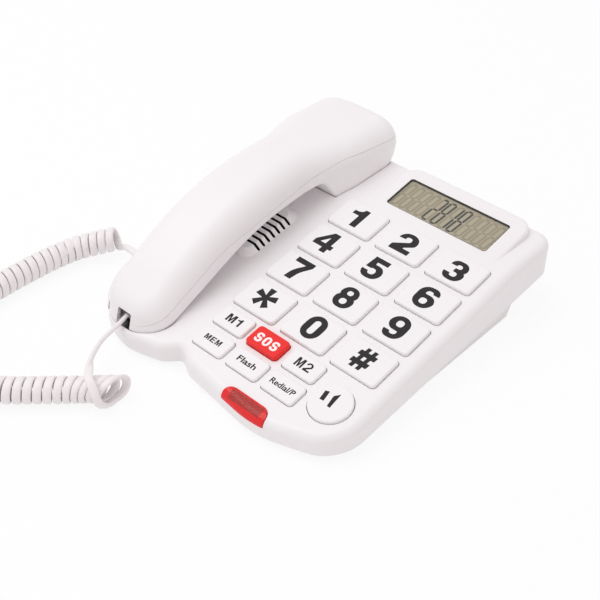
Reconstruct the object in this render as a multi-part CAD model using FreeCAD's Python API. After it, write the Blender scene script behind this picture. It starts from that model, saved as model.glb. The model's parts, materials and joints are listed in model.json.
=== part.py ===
import FreeCAD, Part
import math
import os

os.makedirs("parts", exist_ok=True)
V = FreeCAD.Vector

# Panel frame: x to the right, v up the slope, h square to the key plane. Sizes in millimetres and degrees.
PANEL_SLOPE = 9.71
PANEL_HEIGHT = 27.1
SHELF_SLOPE = 2.0
BEND_Y = 52.0
BEND_ROUND = 80.0

# Upper housing: plan corners as (x, y, corner radius), walls, edges
HALF_WIDTH = 81.25
REAR_Y = 88.0
PLAN = [
    (HALF_WIDTH, REAR_Y, 9), (-HALF_WIDTH, REAR_Y, 9), (-HALF_WIDTH, -76, 36), (37.25 - HALF_WIDTH, -87, 34),
    (58.25 - HALF_WIDTH, -81.5, 12), (65.45 - HALF_WIDTH, -74.5, 3.5), (74.25 - HALF_WIDTH, -79.5, 12),
    (HALF_WIDTH - 39.25, -85.6, 60), (HALF_WIDTH, -73, 22),
]
WALL = 2.4
EDGE_ROUND = 4.5
FIT = 0.25
SLIDE_GAP = 0.35
DEEP = 60.0

# Lower edge of the housing: a plane that climbs to the rear
SKIRT_SLOPE = 5.24
SKIRT_HEIGHT = 10.43

# Display: window opening, raised block round it, glass and frame
WINDOW_X = 30.85
WINDOW_V = 66.35
WINDOW_WIDTH = 62.1
WINDOW_LENGTH = 22.1
BLOCK_LEFT = 7.3
BLOCK_RIGHT = 8.6
BLOCK_REAR = 8.6
BLOCK_FRONT = 11.3
DISPLAY_LEFT = WINDOW_X - WINDOW_WIDTH / 2 - BLOCK_LEFT
DISPLAY_RIGHT = WINDOW_X + WINDOW_WIDTH / 2 + BLOCK_RIGHT
DISPLAY_FRONT = WINDOW_V - WINDOW_LENGTH / 2 - BLOCK_FRONT
DISPLAY_REAR = WINDOW_V + WINDOW_LENGTH / 2 + BLOCK_REAR
DISPLAY_ROUND = 9.0
DISPLAY_EDGE = 1.6
WINDOW_ROUND = 1.6
WINDOW_LAP = 1.6
WINDOW_THICK = 1.2
LCD_THICK = 2.4
LCD_RIM = 1.1
FRAME_LIP = 1.0

# Keys: outline, rise above the key plane, travel and guide flange
NUMBER_WIDTH = 26.4
NUMBER_LENGTH = 19.0
NUMBER_PITCH_X = 31.0
NUMBER_PITCH_V = 23.0
NUMBER_X = -2.3
NUMBER_V = -32.6
NUMBER_RISE = 2.0
FUNCTION_WIDTH = 19.3
FUNCTION_LENGTH = 11.6
FUNCTION_PITCH = 22.4
FUNCTION_RISE = 1.7
ALARM_RISE = 2.6
ROW_ONE_X = -5.0
ROW_ONE_V = -51.3
ROW_TWO_X = -4.1
ROW_TWO_V = -66.0
ROUND_KEY_X = 63.3
ROUND_KEY_V = -59.6
ROUND_KEY_DIAMETER = 21.0
KEY_CORNER = 2.0
KEY_EDGE = 0.8
KEY_SKIN = 1.6
KEY_TRAVEL = 1.5
FLANGE_WIDTH = 0.9
FLANGE_THICK = 1.0
KEY_POST = 2.2
KEY_POST_DROP = 1.0

# Circuit board and key mat
BOARD_DEPTH = 9.0
BOARD_THICK = 1.6
BOARD_LEFT = -23.5
BOARD_RIGHT = 78.0
BOARD_FRONT = -73.0
BOARD_REAR = 47.5
BOARD_POSTS = [(-20.6, -20), (-20.6, 38), (76.4, -20), (76.4, 30)]
BOARD_POST = 2.0
MAT_THICK = 0.9
MAT_MARGIN = 1.4
DOME_GAP = 0.5

# Loudspeaker mound and slots under the grip, and the loudspeaker's section as (share of its radius, z)
MOUND_HEIGHT = 3.0
MOUND_HALF = 19.5
MOUND_REACH = 20.2
MOUND_CORNER = 6.0
SLOT_COUNT = 7
SLOT_PITCH = 3.75
SLOT_WIDTH = 1.6
SLOT_V = 2.2
SLOT_DEPTH = 3.2
MOUND_FRONT = SLOT_V - MOUND_REACH
MOUND_REAR = SLOT_V + MOUND_REACH
SLOT_ROUND = 0.76
SPEAKER_RADIUS = 14.5
SPEAKER_HEIGHT = 9.0
SPEAKER_RING = 1.8
SPEAKER_SECTION = [
    (0, -3.0), (0.34, -2.6), (0.86, -0.5), (0.9, 0), (1, 0), (1, -1.6), (0.7, -4.5),
    (0.7, -SPEAKER_HEIGHT), (0, -SPEAKER_HEIGHT),
]

# Lamp lens on the front edge
LENS_LEFT = 19.0
LENS_RIGHT = 45.5
LENS_REAR = -77.6
LENS_ROUND = 5.0
LENS_FOOT = 9.0
LENS_PROUD = 0.5
LENS_THICK = 1.8
LAMP_BOARD = 1.0
LAMP_SET = 2.4
LED_PITCH = 7.0
LED_RADIUS = 1.5
LED_HEIGHT = 2.2

# Bottom cover, feet and screws
COVER_INSET = 4.75
FLOOR = 2.2
FOOT_PROUD = 1.0
FOOT_SINK = 0.8
FOOT_RADIUS = 5.5
FEET = [(-58, -66), (58, -60), (-62, 46), (62, 46)]
TOE_Y = 59.0
TOE_LEAN = 26.0
LID_RISE = 0.8
FLOOR_SCREWS = [(-21, -60), (53.9, -71.3), (-69, 22)]
LID_SCREWS = [(-10.5, 72), (71, 70)]
TURRET_RADIUS = 3.6
TURRET_HEIGHT = 2.8
HEAD_RADIUS = 2.6
HEAD_HEIGHT = 1.6
HEAD_SINK = 3.2
SHANK_RADIUS = 1.3
SHANK_LENGTH = 7.0
BOSS_RADIUS = 2.4
BOSS_SINK = 1.2

# Handset: side profile as (v, h, radius), plan as (x, v, radius), cut along the rake
HANDSET_X = -48.5
RAKE = 26.0
EAR_FLOOR = -8.0
MOUTH_FLOOR = -3.0
PROFILE = [
    (-108.4, MOUTH_FLOOR, 0), (-15, 40, 150), (125, 8.5, 0), (125, -2.4, 0), (88, -3.4, 6),
    (76, EAR_FLOOR, 6), (46, EAR_FLOOR, 5), (39.5, 10.5, 5), (-7.3, 14.5, 130), (-78.4, MOUTH_FLOOR, 30),
]
HANDSET_PLAN = [
    (20, -84.5, 16), (20, 25, 60), (27.5, 55, 40), (28, 97, 17), (0, 101, 90),
    (-28, 97, 17), (-27.5, 55, 40), (-20, 25, 60), (-20, -84.5, 16),
]
PARTING = [(-140, -15, 0), (-33, 17.7, 60), (55, 18, 60), (140, -5, 0), (140, -60, 0), (-140, -60, 0)]
PARTING_LINE = 0.2
HANDSET_WALL = 2.2
CROWN_ROUND = 13.0
HEEL_ROUND = 2.0
SEAT_GAP = 0.5

# Handset contents
RECEIVER_V = 61.6
RECEIVER_RADIUS = 10.8
RECEIVER_HEIGHT = 6.0
MICROPHONE_V = -57.8
MICROPHONE_RADIUS = 4.8
MICROPHONE_HEIGHT = 5.0
SOUND_HOLE = 1.1
SOUND_RING = 5.0
SOUND_HOLES = 6
WEIGHT_SIZE = (14.0, 36.0, 6.0)
WEIGHT_BASE = 15.8
HANDSET_SCREWS = [(-44.0, 5.5), (26.0, 11.7)]
RIB = 1.4

# Hook plunger and switch
HOOK_V = 52.0
HOOK_TRAVEL = 4.0
HOOK_WIDTH = 9.0
HOOK_LENGTH = 5.0
HOOK_ROUND = 2.4
HOOK_FLANGE = 1.4
SWITCH_SIZE = (12.8, 6.0, 6.4)

# Modular sockets and plugs
PLUG_WIDTH = 7.6
PLUG_HEIGHT = 6.2
PLUG_LENGTH = 12.0
PLUG_FIT = 0.15
SOCKET_SIDE = 1.0
SOCKET_SINK = 1.2
SOCKET_LID = 0.6
SOCKET_LENGTH = 12.5
BASE_SOCKET_Y = -42.0
BASE_PLUG_OUT = 3.4
HANDSET_SOCKET_V = -76.0
HANDSET_PLUG_OUT = 1.5
TUNNEL_WIDTH = 9.4
TUNNEL_HEIGHT = 6.8
LINE_SOCKET_X = 40.0
LINE_SOCKET_SIZE = (15.0, 13.0, 11.0)
LINE_OPENING = (9.8, 10.5, 6.8)

# Curly cord: section, coil and routes
CORD_RADIUS = 1.6
CORD_SIDES = 6
COIL_RADIUS = 5.4
COIL_PITCH = 4.6
COIL_CURLS = 48
COIL_ROUTE = [
    (-19.0, -108.2, 7.4), (-42.2, -131.2, 7.4), (-68.5, -155.9, 7.4), (-99.7, -155.5, 7.4),
    (-121.5, -133.3, 7.4), (-122.5, -88.0, 7.4), (-119.8, -60.0, 7.6), (-111.0, -46.0, 9.4),
    (-99.5, -39.3, 12.0),
]
WRAP_RADIUS = 9.6
WRAP_REACH = 15.0
WRAP_SPREAD = 100.0
WRAP_START = 50.0
WRAP_STEP = 22.5
CORD_END = 4.0
EXIT_REACH = 5.0
EXIT_RISE = 1.2
CORD_GAP = 0.3
BEND_SHARE = 0.45
HANDSET_LEAD_RUN = 8.7
HANDSET_LEAD = [(-46.8, -96.5, 13.6), (-42.5, -104.0, 15.0)]
BASE_LEAD_RUN = 6.2


def rounded_wire(points):
    """Closed wire in the XY plane through corners given as (x, y, radius)."""
    ends = []
    for i, (x, y, radius) in enumerate(points):
        corner = V(x, y, 0)
        before = V(*points[i - 1][:2], 0) - corner
        after = V(*points[(i + 1) % len(points)][:2], 0) - corner
        before.normalize()
        after.normalize()
        if radius <= 0:
            ends.append((corner, None, corner))
            continue
        half = before.getAngle(after) / 2
        reach = radius / math.tan(half)
        inward = before + after
        inward.normalize()
        middle = corner + inward * (radius / math.sin(half) - radius)
        ends.append((corner + before * reach, middle, corner + after * reach))
    edges = []
    for i, (start, middle, end) in enumerate(ends):
        if middle is not None:
            edges.append(Part.Arc(start, middle, end).toShape())
        following = ends[(i + 1) % len(ends)][0]
        edges.append(Part.makeLine(end, following))
    return Part.Wire(edges)


def face_of(points, inset=0):
    """Flat face inside a rounded outline, moved inwards by the inset."""
    face = Part.Face(rounded_wire(points))
    return face.makeOffset2D(-inset) if inset else face


def prism(points, low, high, inset=0):
    """Upright prism on a rounded outline."""
    face = face_of(points, inset)
    face.translate(V(0, 0, low))
    return face.extrude(V(0, 0, high - low))


def across(points, half, inset=0):
    """Prism along x on a rounded outline drawn in the YZ plane."""
    face = face_of(points, inset)
    upright = FreeCAD.Placement(V(-half, 0, 0), FreeCAD.Rotation(V(1, 1, 1), 120))
    face.Placement = upright.multiply(face.Placement)
    return face.extrude(V(2 * half, 0, 0))


def block(x0, x1, y0, y1, z0, z1):
    """Box between opposite corners."""
    return Part.makeBox(x1 - x0, y1 - y0, z1 - z0, V(x0, y0, z0))


def pad(x, y, width, length, low, high, radius):
    """Box centred on (x, y) with rounded upright corners."""
    a, b = width / 2, length / 2
    outline = [(x + a, y + b, radius), (x - a, y + b, radius), (x - a, y - b, radius), (x + a, y - b, radius)]
    return prism(outline, low, high)


def rod(x, y, radius, low, high):
    """Upright cylinder."""
    return Part.makeCylinder(radius, high - low, V(x, y, low))


def turned(points):
    """Solid turned about the z axis from (radius, z) points."""
    wire = Part.makePolygon([V(r, 0, z) for r, z in points + points[:1]])
    return Part.Face(wire).revolve(V(), V(0, 0, 1), 360)


def placed(shape, origin, slope):
    """Copy of a shape tilted about x and moved to the origin given."""
    moved = shape.copy()
    frame = FreeCAD.Placement(origin, FreeCAD.Rotation(V(1, 0, 0), slope))
    moved.Placement = frame.multiply(moved.Placement)
    return moved


def on_panel(shape):
    """Shape drawn in the panel frame, brought into the part's frame."""
    return placed(shape, V(0, 0, PANEL_HEIGHT), PANEL_SLOPE)


def on_skirt(shape):
    """Shape drawn on the housing's lower edge plane, brought into the part's frame."""
    return placed(shape, V(0, 0, SKIRT_HEIGHT), SKIRT_SLOPE)


def joined(shapes):
    """One shape from several that touch or overlap."""
    shapes = list(shapes)
    return shapes[0].multiFuse(shapes[1:]).removeSplitter()


def key_plane(y):
    """Height of the key plane above the table."""
    return PANEL_HEIGHT + y * math.tan(math.radians(PANEL_SLOPE))


def skirt_plane(y):
    """Height of the housing's lower edge above the table."""
    return SKIRT_HEIGHT + y * math.tan(math.radians(SKIRT_SLOPE))


def deck(inset):
    """Everything under the housing's top: key plane, bend and shelf."""
    bend = key_plane(BEND_Y)
    shelf = bend + (2 * REAR_Y - BEND_Y) * math.tan(math.radians(SHELF_SLOPE))
    outline = [
        (-2 * REAR_Y, key_plane(-2 * REAR_Y), 0), (BEND_Y, bend, BEND_ROUND),
        (2 * REAR_Y, shelf, 0), (2 * REAR_Y, -DEEP, 0), (-2 * REAR_Y, -DEEP, 0),
    ]
    return across(outline, 2 * HALF_WIDTH, inset)


def facing(face, axis):
    """How far a face looks along an axis, taken at its middle."""
    u0, u1, v0, v1 = face.ParameterRange
    return face.normalAt((u0 + u1) / 2, (v0 + v1) / 2).dot(axis)


def rim(solid, axis, wanted):
    """Edges of a solid between a wall that holds the axis and a face that looks along it as wanted."""
    edges = []
    for edge in solid.Edges:
        shares = sorted((facing(f, axis) for f in solid.ancestorsOfType(edge, Part.Face)), key=abs)
        if len(shares) == 2 and abs(shares[0]) < 1e-3 < abs(shares[1]) and wanted * shares[1] > 0:
            edges.append(edge)
    return edges


def body(inset, edge_round):
    """Base block inside its plan and deck, with the display block on it."""
    up = V(0, 0, 1)
    plan = prism(PLAN, -DEEP, DEEP, inset)
    base = plan.common(deck(inset)).Solids[0]
    left, right = DISPLAY_LEFT + inset, DISPLAY_RIGHT - inset
    outline = [
        (right, DISPLAY_REAR - inset, DISPLAY_ROUND), (left, DISPLAY_REAR - inset, DISPLAY_ROUND),
        (left, DISPLAY_FRONT, 0), (right, DISPLAY_FRONT, 0),
    ]
    display = prism(outline, -DEEP / 4, -inset)
    if edge_round:
        base = base.makeFillet(edge_round, rim(base, up, 1))
        display = display.makeFillet(DISPLAY_EDGE, rim(display, up, 1))
    return base.fuse(on_panel(display).common(plan))


def handset_block(inset, crown=0, heel=0):
    """Handset solid: side profile met by the plan cut along the rake, moved inwards by the inset."""
    low, high = -DEEP / 2, DEEP
    rise = math.tan(math.radians(RAKE))
    foot = face_of(HANDSET_PLAN, inset)
    foot.translate(V(0, low * rise, low))
    solid = foot.extrude(V(0, (high - low) * rise, high - low)).common(across(PROFILE, DEEP, inset)).Solids[0]
    axis = V(0, math.sin(math.radians(RAKE)), math.cos(math.radians(RAKE)))
    if crown:
        solid = solid.makeFillet(crown, rim(solid, axis, 1))
    if heel:
        solid = solid.makeFillet(heel, rim(solid, axis, -1))
    solid.translate(V(HANDSET_X, 0, 0))
    return solid


def key_table():
    """Every key as name: (x, v, width, length, rise); a round key has no length."""
    keys = {}
    rows = [("star", "0", "hash"), ("7", "8", "9"), ("4", "5", "6"), ("1", "2", "3")]
    for j, row in enumerate(rows):
        for i, name in enumerate(row):
            x, v = NUMBER_X + i * NUMBER_PITCH_X, NUMBER_V + j * NUMBER_PITCH_V
            keys["key_" + name] = (x, v, NUMBER_WIDTH, NUMBER_LENGTH, NUMBER_RISE)
    for i, name in enumerate(("m1", "sos", "m2")):
        rise = ALARM_RISE if name == "sos" else FUNCTION_RISE
        x = ROW_ONE_X + i * FUNCTION_PITCH
        keys["key_" + name] = (x, ROW_ONE_V, FUNCTION_WIDTH, FUNCTION_LENGTH, rise)
    for i, name in enumerate(("mem", "flash", "redial")):
        x = ROW_TWO_X + i * FUNCTION_PITCH
        keys["key_" + name] = (x, ROW_TWO_V, FUNCTION_WIDTH, FUNCTION_LENGTH, FUNCTION_RISE)
    keys["key_speaker"] = (ROUND_KEY_X, ROUND_KEY_V, ROUND_KEY_DIAMETER, None, FUNCTION_RISE)
    return keys


def key_prism(x, v, width, length, grow, low, high):
    """Outline of a key, grown all round, between two heights."""
    if length is None:
        return rod(x, v, width / 2 + grow, low, high)
    return pad(x, v, width + 2 * grow, length + 2 * grow, low, high, KEY_CORNER + grow)


def key_solid(x, v, width, length, rise):
    """Hollow key with a soft top edge, a guide flange under the panel and a post over its dome."""
    flange_top = -WALL - SLIDE_GAP
    flange_low = flange_top - FLANGE_THICK
    cap = key_prism(x, v, width, length, 0, flange_low, rise)
    cap = cap.makeFillet(KEY_EDGE, rim(cap, V(0, 0, 1), 1) if length else [round_top(cap)])
    flange = key_prism(x, v, width, length, FLANGE_WIDTH, flange_low, flange_top)
    hollow = key_prism(x, v, width, length, -KEY_SKIN, flange_low, rise - KEY_SKIN)
    post = rod(x, v, KEY_POST, flange_low - KEY_POST_DROP, rise - KEY_SKIN / 2)
    return joined([cap.fuse(flange).cut(hollow), post])


def round_top(cap):
    """Upper edge of a round key."""
    return max(cap.Edges, key=lambda e: e.CenterOfMass.z)


def key_mat():
    """Rubber sheet on the board with one dome under each key post."""
    low = -BOARD_DEPTH
    sheet = block(BOARD_LEFT + 2 * BOARD_POST + MAT_MARGIN, BOARD_RIGHT - 2 * BOARD_POST,
                  BOARD_FRONT + MAT_MARGIN, BOARD_REAR - MAT_MARGIN, low, low + MAT_THICK)
    top = -WALL - SLIDE_GAP - FLANGE_THICK - KEY_POST_DROP - KEY_TRAVEL - DOME_GAP
    base = low + MAT_THICK / 2
    domes = []
    for x, v, *_ in key_table().values():
        domes.append(Part.makeCone(2 * KEY_POST, KEY_POST, top - base, V(x, v, base)))
    return on_panel(joined([sheet] + domes)).cut(board_clearance())


def main_board():
    """Circuit board under the key mat, on posts from the panel."""
    low = -BOARD_DEPTH - BOARD_THICK
    board = block(BOARD_LEFT, BOARD_RIGHT, BOARD_FRONT, BOARD_REAR, low, -BOARD_DEPTH)
    return on_panel(board).cut(board_clearance())


def board_clearance():
    """Room that the board and its mat leave to screw bosses, the cover's rim and the handset's wells."""
    bosses = [rod(x, y, BOSS_RADIUS + RIB, 0, DEEP) for x, y in FLOOR_SCREWS]
    reach = 2 * REAR_Y
    slab = on_skirt(block(-reach, reach, -reach, reach, -DEEP, LID_RISE + FLOOR + FIT))
    cover_rim = slab.cut(prism(PLAN, -DEEP, DEEP, COVER_INSET + FLOOR + FIT))
    wells = on_panel(handset_block(-SEAT_GAP - WALL - FIT))
    return bosses + [cover_rim, wells]


def screw_seats():
    """Case screws as (x, y, height of the surface they enter from below, top of the boss)."""
    seats = [(x, y, FOOT_PROUD, key_plane(y) - BOSS_SINK) for x, y in FLOOR_SCREWS]
    shelf = key_plane(BEND_Y)
    for x, y in LID_SCREWS:
        top = shelf + (y - BEND_Y) * math.tan(math.radians(SHELF_SLOPE)) - BOSS_SINK
        seats.append((x, y, skirt_plane(y) + LID_RISE, top))
    return seats


def screw(x, y, low):
    """Pan-head screw with its head sunk in a turret."""
    head = rod(x, y, HEAD_RADIUS, low + HEAD_SINK - HEAD_HEIGHT, low + HEAD_SINK)
    return joined([head, rod(x, y, SHANK_RADIUS, low + HEAD_SINK, low + HEAD_SINK + SHANK_LENGTH)])


def mound():
    """Raised speaker mound with sloping flanks, foot on the key plane."""
    wires = []
    for h in (-FIT, MOUND_HEIGHT):
        left, right = HANDSET_X - MOUND_HALF + h, HANDSET_X + MOUND_HALF - h
        front, rear = MOUND_FRONT + h, MOUND_REAR - h
        outline = [
            (right, rear, MOUND_CORNER), (left, rear, MOUND_CORNER),
            (left, front, MOUND_CORNER), (right, front, MOUND_CORNER),
        ]
        wire = rounded_wire(outline)
        wire.translate(V(0, 0, h))
        wires.append(wire)
    return Part.makeLoft(wires, True, True)


def speaker_ring(grow):
    """Cylinder that holds the loudspeaker under the mound."""
    return rod(HANDSET_X, SLOT_V, SPEAKER_RADIUS + FIT + grow, -SPEAKER_HEIGHT / 2, MOUND_HEIGHT - WALL)


def lens_zone(grow):
    """Room taken by the lamp lens in plan and above its lower edge."""
    outline = [
        (LENS_RIGHT + grow, LENS_REAR + grow, LENS_ROUND), (LENS_LEFT - grow, LENS_REAR + grow, LENS_ROUND),
        (LENS_LEFT - grow, -2 * REAR_Y, 0), (LENS_RIGHT + grow, -2 * REAR_Y, 0),
    ]
    return prism(outline, LENS_FOOT - grow, DEEP)


def lamp_lens():
    """Curved lens that follows the housing's front edge, a little proud of it."""
    inner = LENS_THICK - LENS_PROUD
    shell = body(-LENS_PROUD, EDGE_ROUND + LENS_PROUD).cut(body(inner, EDGE_ROUND - inner))
    return shell.common(lens_zone(0)).Solids[0]


def upper_housing():
    """Moulded top: deck, cradle wells, mound, openings, bosses and posts."""
    skirt = on_skirt(block(-2 * REAR_Y, 2 * REAR_Y, -2 * REAR_Y, 2 * REAR_Y, -4 * DEEP, 0))
    outer = body(0, EDGE_ROUND).fuse(on_panel(mound()))
    room = MOUND_HALF - MOUND_HEIGHT - FIT
    vault = block(HANDSET_X - room, HANDSET_X + room, MOUND_FRONT + 2 * WALL, MOUND_REAR - 2 * WALL,
                  -DEEP / 4, MOUND_HEIGHT - WALL)
    cavity = body(WALL, 0).fuse(on_panel(vault)).cut(on_panel(handset_block(-SEAT_GAP - WALL)))
    shell = outer.cut(cavity).cut(skirt)

    ring = speaker_ring(SPEAKER_RING).cut(speaker_ring(0))
    posts = [rod(x, v, BOARD_POST, -BOARD_DEPTH, -WALL / 2) for x, v in BOARD_POSTS]
    bosses = []
    pilots = []
    for x, y, low, top in screw_seats():
        foot = low + FLOOR + TURRET_HEIGHT + FIT
        bosses.append(rod(x, y, BOSS_RADIUS, foot, top))
        pilots.append(rod(x, y, SHANK_RADIUS + FIT / 2, foot, low + HEAD_SINK + SHANK_LENGTH + FIT))
    shell = shell.multiFuse([on_panel(s) for s in [ring] + posts] + bosses)

    cuts = [on_panel(handset_block(-SEAT_GAP)), lens_zone(FIT)] + pilots
    for x, v, width, length, rise in key_table().values():
        cuts.append(on_panel(key_prism(x, v, width, length, SLIDE_GAP, -2 * WALL, 2 * WALL)))
    pane = pad(WINDOW_X, WINDOW_V, WINDOW_WIDTH, WINDOW_LENGTH, -1.5 * WALL, WALL, WINDOW_ROUND)
    cuts.append(on_panel(pane))
    for i in range(SLOT_COUNT):
        v = SLOT_V + (i - (SLOT_COUNT - 1) / 2) * SLOT_PITCH
        slot = pad(HANDSET_X, v, 2 * MOUND_HALF, SLOT_WIDTH, -SLOT_DEPTH, 2 * MOUND_HEIGHT, SLOT_ROUND)
        cuts.append(on_panel(slot))
    hook = pad(HANDSET_X, HOOK_V, HOOK_WIDTH + 2 * SLIDE_GAP, HOOK_LENGTH + 2 * SLIDE_GAP, -DEEP / 4, 0,
               HOOK_ROUND + SLIDE_GAP)
    cuts.append(on_panel(hook))
    cuts.append(base_plug_room())
    cuts.append(line_socket_room())
    return joined([shell.cut(cuts)]).Solids[0]


def cover_profile(lift, lean):
    """Side outline of the bottom cover's wedge, raised and shortened for its inside."""
    low = FOOT_PROUD + lift
    top = skirt_plane(REAR_Y) + (DEEP if lift else 0)
    rear = TOE_Y - lean
    rise = math.tan(math.radians(TOE_LEAN))
    return across([
        (-2 * REAR_Y, low, 0), (rear, low, 0), (rear + (top - low) * rise, top, 0), (-2 * REAR_Y, top, 0),
    ], 2 * HALF_WIDTH)


def bottom_cover():
    """Wedge-shaped tub under the housing, with a rim inside its lower edge, turrets and foot seats."""
    under = on_skirt(block(-2 * REAR_Y, 2 * REAR_Y, -2 * REAR_Y, 2 * REAR_Y, -DEEP, LID_RISE + FLOOR / 2))
    wedge = prism(PLAN, 0, DEEP, COVER_INSET).common(cover_profile(0, 0)).common(under)
    lid = on_skirt(block(-2 * REAR_Y, 2 * REAR_Y, -2 * REAR_Y, 2 * REAR_Y, LID_RISE, LID_RISE + FLOOR))
    lid = lid.common(prism(PLAN, -DEEP, DEEP, WALL + FIT))
    inside = prism(PLAN, 0, DEEP, COVER_INSET + FLOOR).common(cover_profile(FLOOR, FLOOR))
    tub = wedge.fuse(lid).cut(inside)

    added = []
    cuts = []
    for x, y, low, top in screw_seats():
        added.append(rod(x, y, TURRET_RADIUS, low + FLOOR / 2, low + FLOOR + TURRET_HEIGHT))
        cuts.append(rod(x, y, HEAD_RADIUS + FIT, low - FLOOR, low + HEAD_SINK))
        cuts.append(rod(x, y, SHANK_RADIUS + FIT, low, low + FLOOR + TURRET_HEIGHT))
    floor = FOOT_PROUD + FLOOR
    for x in lamp_posts():
        added.append(rod(x, LENS_REAR + LAMP_SET + RIB, LAMP_BOARD, floor - FLOOR / 2, floor + LAMP_BOARD))
    width, length, height = SWITCH_SIZE
    pillar = pad(HANDSET_X, HOOK_V, width, length, -DEEP, hook_low() - FIT - height, RIB / 2)
    added.append(on_panel(pillar).common(cover_profile(FLOOR / 2, FLOOR / 2)))
    for x, y in FEET:
        cuts.append(rod(x, y, FOOT_RADIUS, 0, FOOT_PROUD + FOOT_SINK))
    cuts.append(base_socket_room())
    return joined([tub.multiFuse(added).cut(cuts)]).Solids[0]


def lamp_posts():
    """Where the lamp board stands."""
    return [LENS_LEFT + LENS_ROUND, LENS_RIGHT - LENS_ROUND]


def lamp_board():
    """Strip of circuit board behind the lens."""
    low = FOOT_PROUD + FLOOR + LAMP_BOARD
    front = LENS_REAR + LAMP_SET
    return block(LENS_LEFT + RIB, LENS_RIGHT - RIB, front, front + 2 * RIB, low, low + LAMP_BOARD)


def lamp_leds():
    """Row of light-emitting diodes on the lamp board."""
    low = FOOT_PROUD + FLOOR + 2 * LAMP_BOARD
    x = (LENS_LEFT + LENS_RIGHT) / 2
    y = LENS_REAR + LAMP_SET + RIB
    leds = []
    for i in (-1, 0, 1):
        leds.append(rod(x + i * LED_PITCH, y, LED_RADIUS, low, low + LED_HEIGHT))
    return Part.Compound(leds)


def display_parts():
    """Window, liquid-crystal glass and the frame that holds both under the panel."""
    width, length = WINDOW_WIDTH + 2 * WINDOW_LAP, WINDOW_LENGTH + 2 * WINDOW_LAP
    back = -WALL - WINDOW_THICK
    window = pad(WINDOW_X, WINDOW_V, width, length, back, -WALL, WINDOW_ROUND)
    glass = pad(WINDOW_X, WINDOW_V, width, length, back - LCD_THICK, back, WINDOW_ROUND)
    tray = pad(WINDOW_X, WINDOW_V, width + 2 * LCD_RIM, length + 2 * LCD_RIM, back - LCD_THICK - FRAME_LIP,
               -WALL, WINDOW_ROUND + LCD_RIM)
    tray = tray.cut(pad(WINDOW_X, WINDOW_V, width, length, back - LCD_THICK, 0, WINDOW_ROUND))
    return on_panel(window), on_panel(glass), on_panel(tray)


def loudspeaker():
    """Small moving-coil loudspeaker, rim up."""
    cone = turned([(share * SPEAKER_RADIUS, z) for share, z in SPEAKER_SECTION])
    cone.translate(V(HANDSET_X, SLOT_V, MOUND_HEIGHT - WALL))
    return on_panel(cone)


def hook_high():
    """Top of the hook plunger while the handset holds it down."""
    return EAR_FLOOR - SLIDE_GAP


def hook_low():
    """Underside of the plunger's flange while the handset holds it down."""
    return EAR_FLOOR - SEAT_GAP - WALL - HOOK_TRAVEL - SLIDE_GAP - FLANGE_THICK


def hook_plunger():
    """Plunger in the ear well with a flange that stops it under the floor."""
    stem = pad(HANDSET_X, HOOK_V, HOOK_WIDTH, HOOK_LENGTH, hook_low(), hook_high(), HOOK_ROUND)
    stem = stem.makeFillet(KEY_EDGE / 2, rim(stem, V(0, 0, 1), 1))
    flange = pad(HANDSET_X, HOOK_V, HOOK_WIDTH + 2 * HOOK_FLANGE, HOOK_LENGTH + 2 * HOOK_FLANGE, hook_low(),
                 hook_low() + FLANGE_THICK, HOOK_ROUND)
    return on_panel(joined([stem, flange]))


def hook_switch():
    """Switch on its pillar under the plunger."""
    width, length, height = SWITCH_SIZE
    top = hook_low() - FIT
    return on_panel(pad(HANDSET_X, HOOK_V, width, length, top - height, top, RIB / 2))


def grip_line(v):
    """Height of the handset's straight underside between mouth and grip."""
    (v1, h1, _), (v0, h0, _) = PROFILE[-2:]
    return h0 + (h1 - h0) * (v - v0) / (v1 - v0)


def in_tip(shape):
    """Shape drawn with the socket's mouth at the origin, y inwards, brought into the handset's tip."""
    (v1, h1, _), (v0, h0, _) = PROFILE[-2:]
    slope = math.degrees(math.atan2(h1 - h0, v1 - v0))
    lift = HANDSET_WALL / math.cos(math.radians(slope)) + FIT
    origin = V(HANDSET_X, HANDSET_SOCKET_V, grip_line(HANDSET_SOCKET_V) + lift)
    return on_panel(placed(shape, origin, slope))


def on_left(shape):
    """Shape drawn with the socket's mouth at the origin, y inwards, brought to the housing's left wall."""
    turned_in = shape.copy()
    frame = FreeCAD.Placement(V(-HALF_WIDTH + WALL + FIT, BASE_SOCKET_Y, LID_RISE + FLOOR - SOCKET_SINK),
                              FreeCAD.Rotation(V(0, 0, 1), -90))
    turned_in.Placement = frame.multiply(turned_in.Placement)
    return on_skirt(turned_in)


SOCKET_HEIGHT = PLUG_HEIGHT + 2 * PLUG_FIT + 2 * SOCKET_LID


def plug_body(out):
    """Modular plug whose rear end stands out of the socket's mouth."""
    a, middle = PLUG_WIDTH / 2, SOCKET_HEIGHT / 2
    low, high = middle - PLUG_HEIGHT / 2, middle + PLUG_HEIGHT / 2
    return block(-a, a, -out, PLUG_LENGTH - out, low, high)


def socket_body(out):
    """Modular socket with room for its plug."""
    a = PLUG_WIDTH / 2 + PLUG_FIT
    shell = block(-a - SOCKET_SIDE, a + SOCKET_SIDE, 0, SOCKET_LENGTH, 0, SOCKET_HEIGHT)
    return shell.cut(block(-a, a, -FIT, PLUG_LENGTH - out + PLUG_FIT, SOCKET_LID, SOCKET_HEIGHT - SOCKET_LID))


def base_socket_room():
    """Pocket in the cover's rim for the handset cord's socket."""
    a = PLUG_WIDTH / 2 + PLUG_FIT + SOCKET_SIDE + FIT
    return on_left(block(-a, a, -2 * WALL, SOCKET_LENGTH + FIT, 0, SOCKET_HEIGHT))


def base_plug_room():
    """Opening for the plug in the housing's left wall."""
    a, middle = PLUG_WIDTH / 2 + FIT, SOCKET_HEIGHT / 2
    half = PLUG_HEIGHT / 2 + FIT
    return on_left(block(-a, a, -2 * WALL, FIT, middle - half, middle + half))


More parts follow.
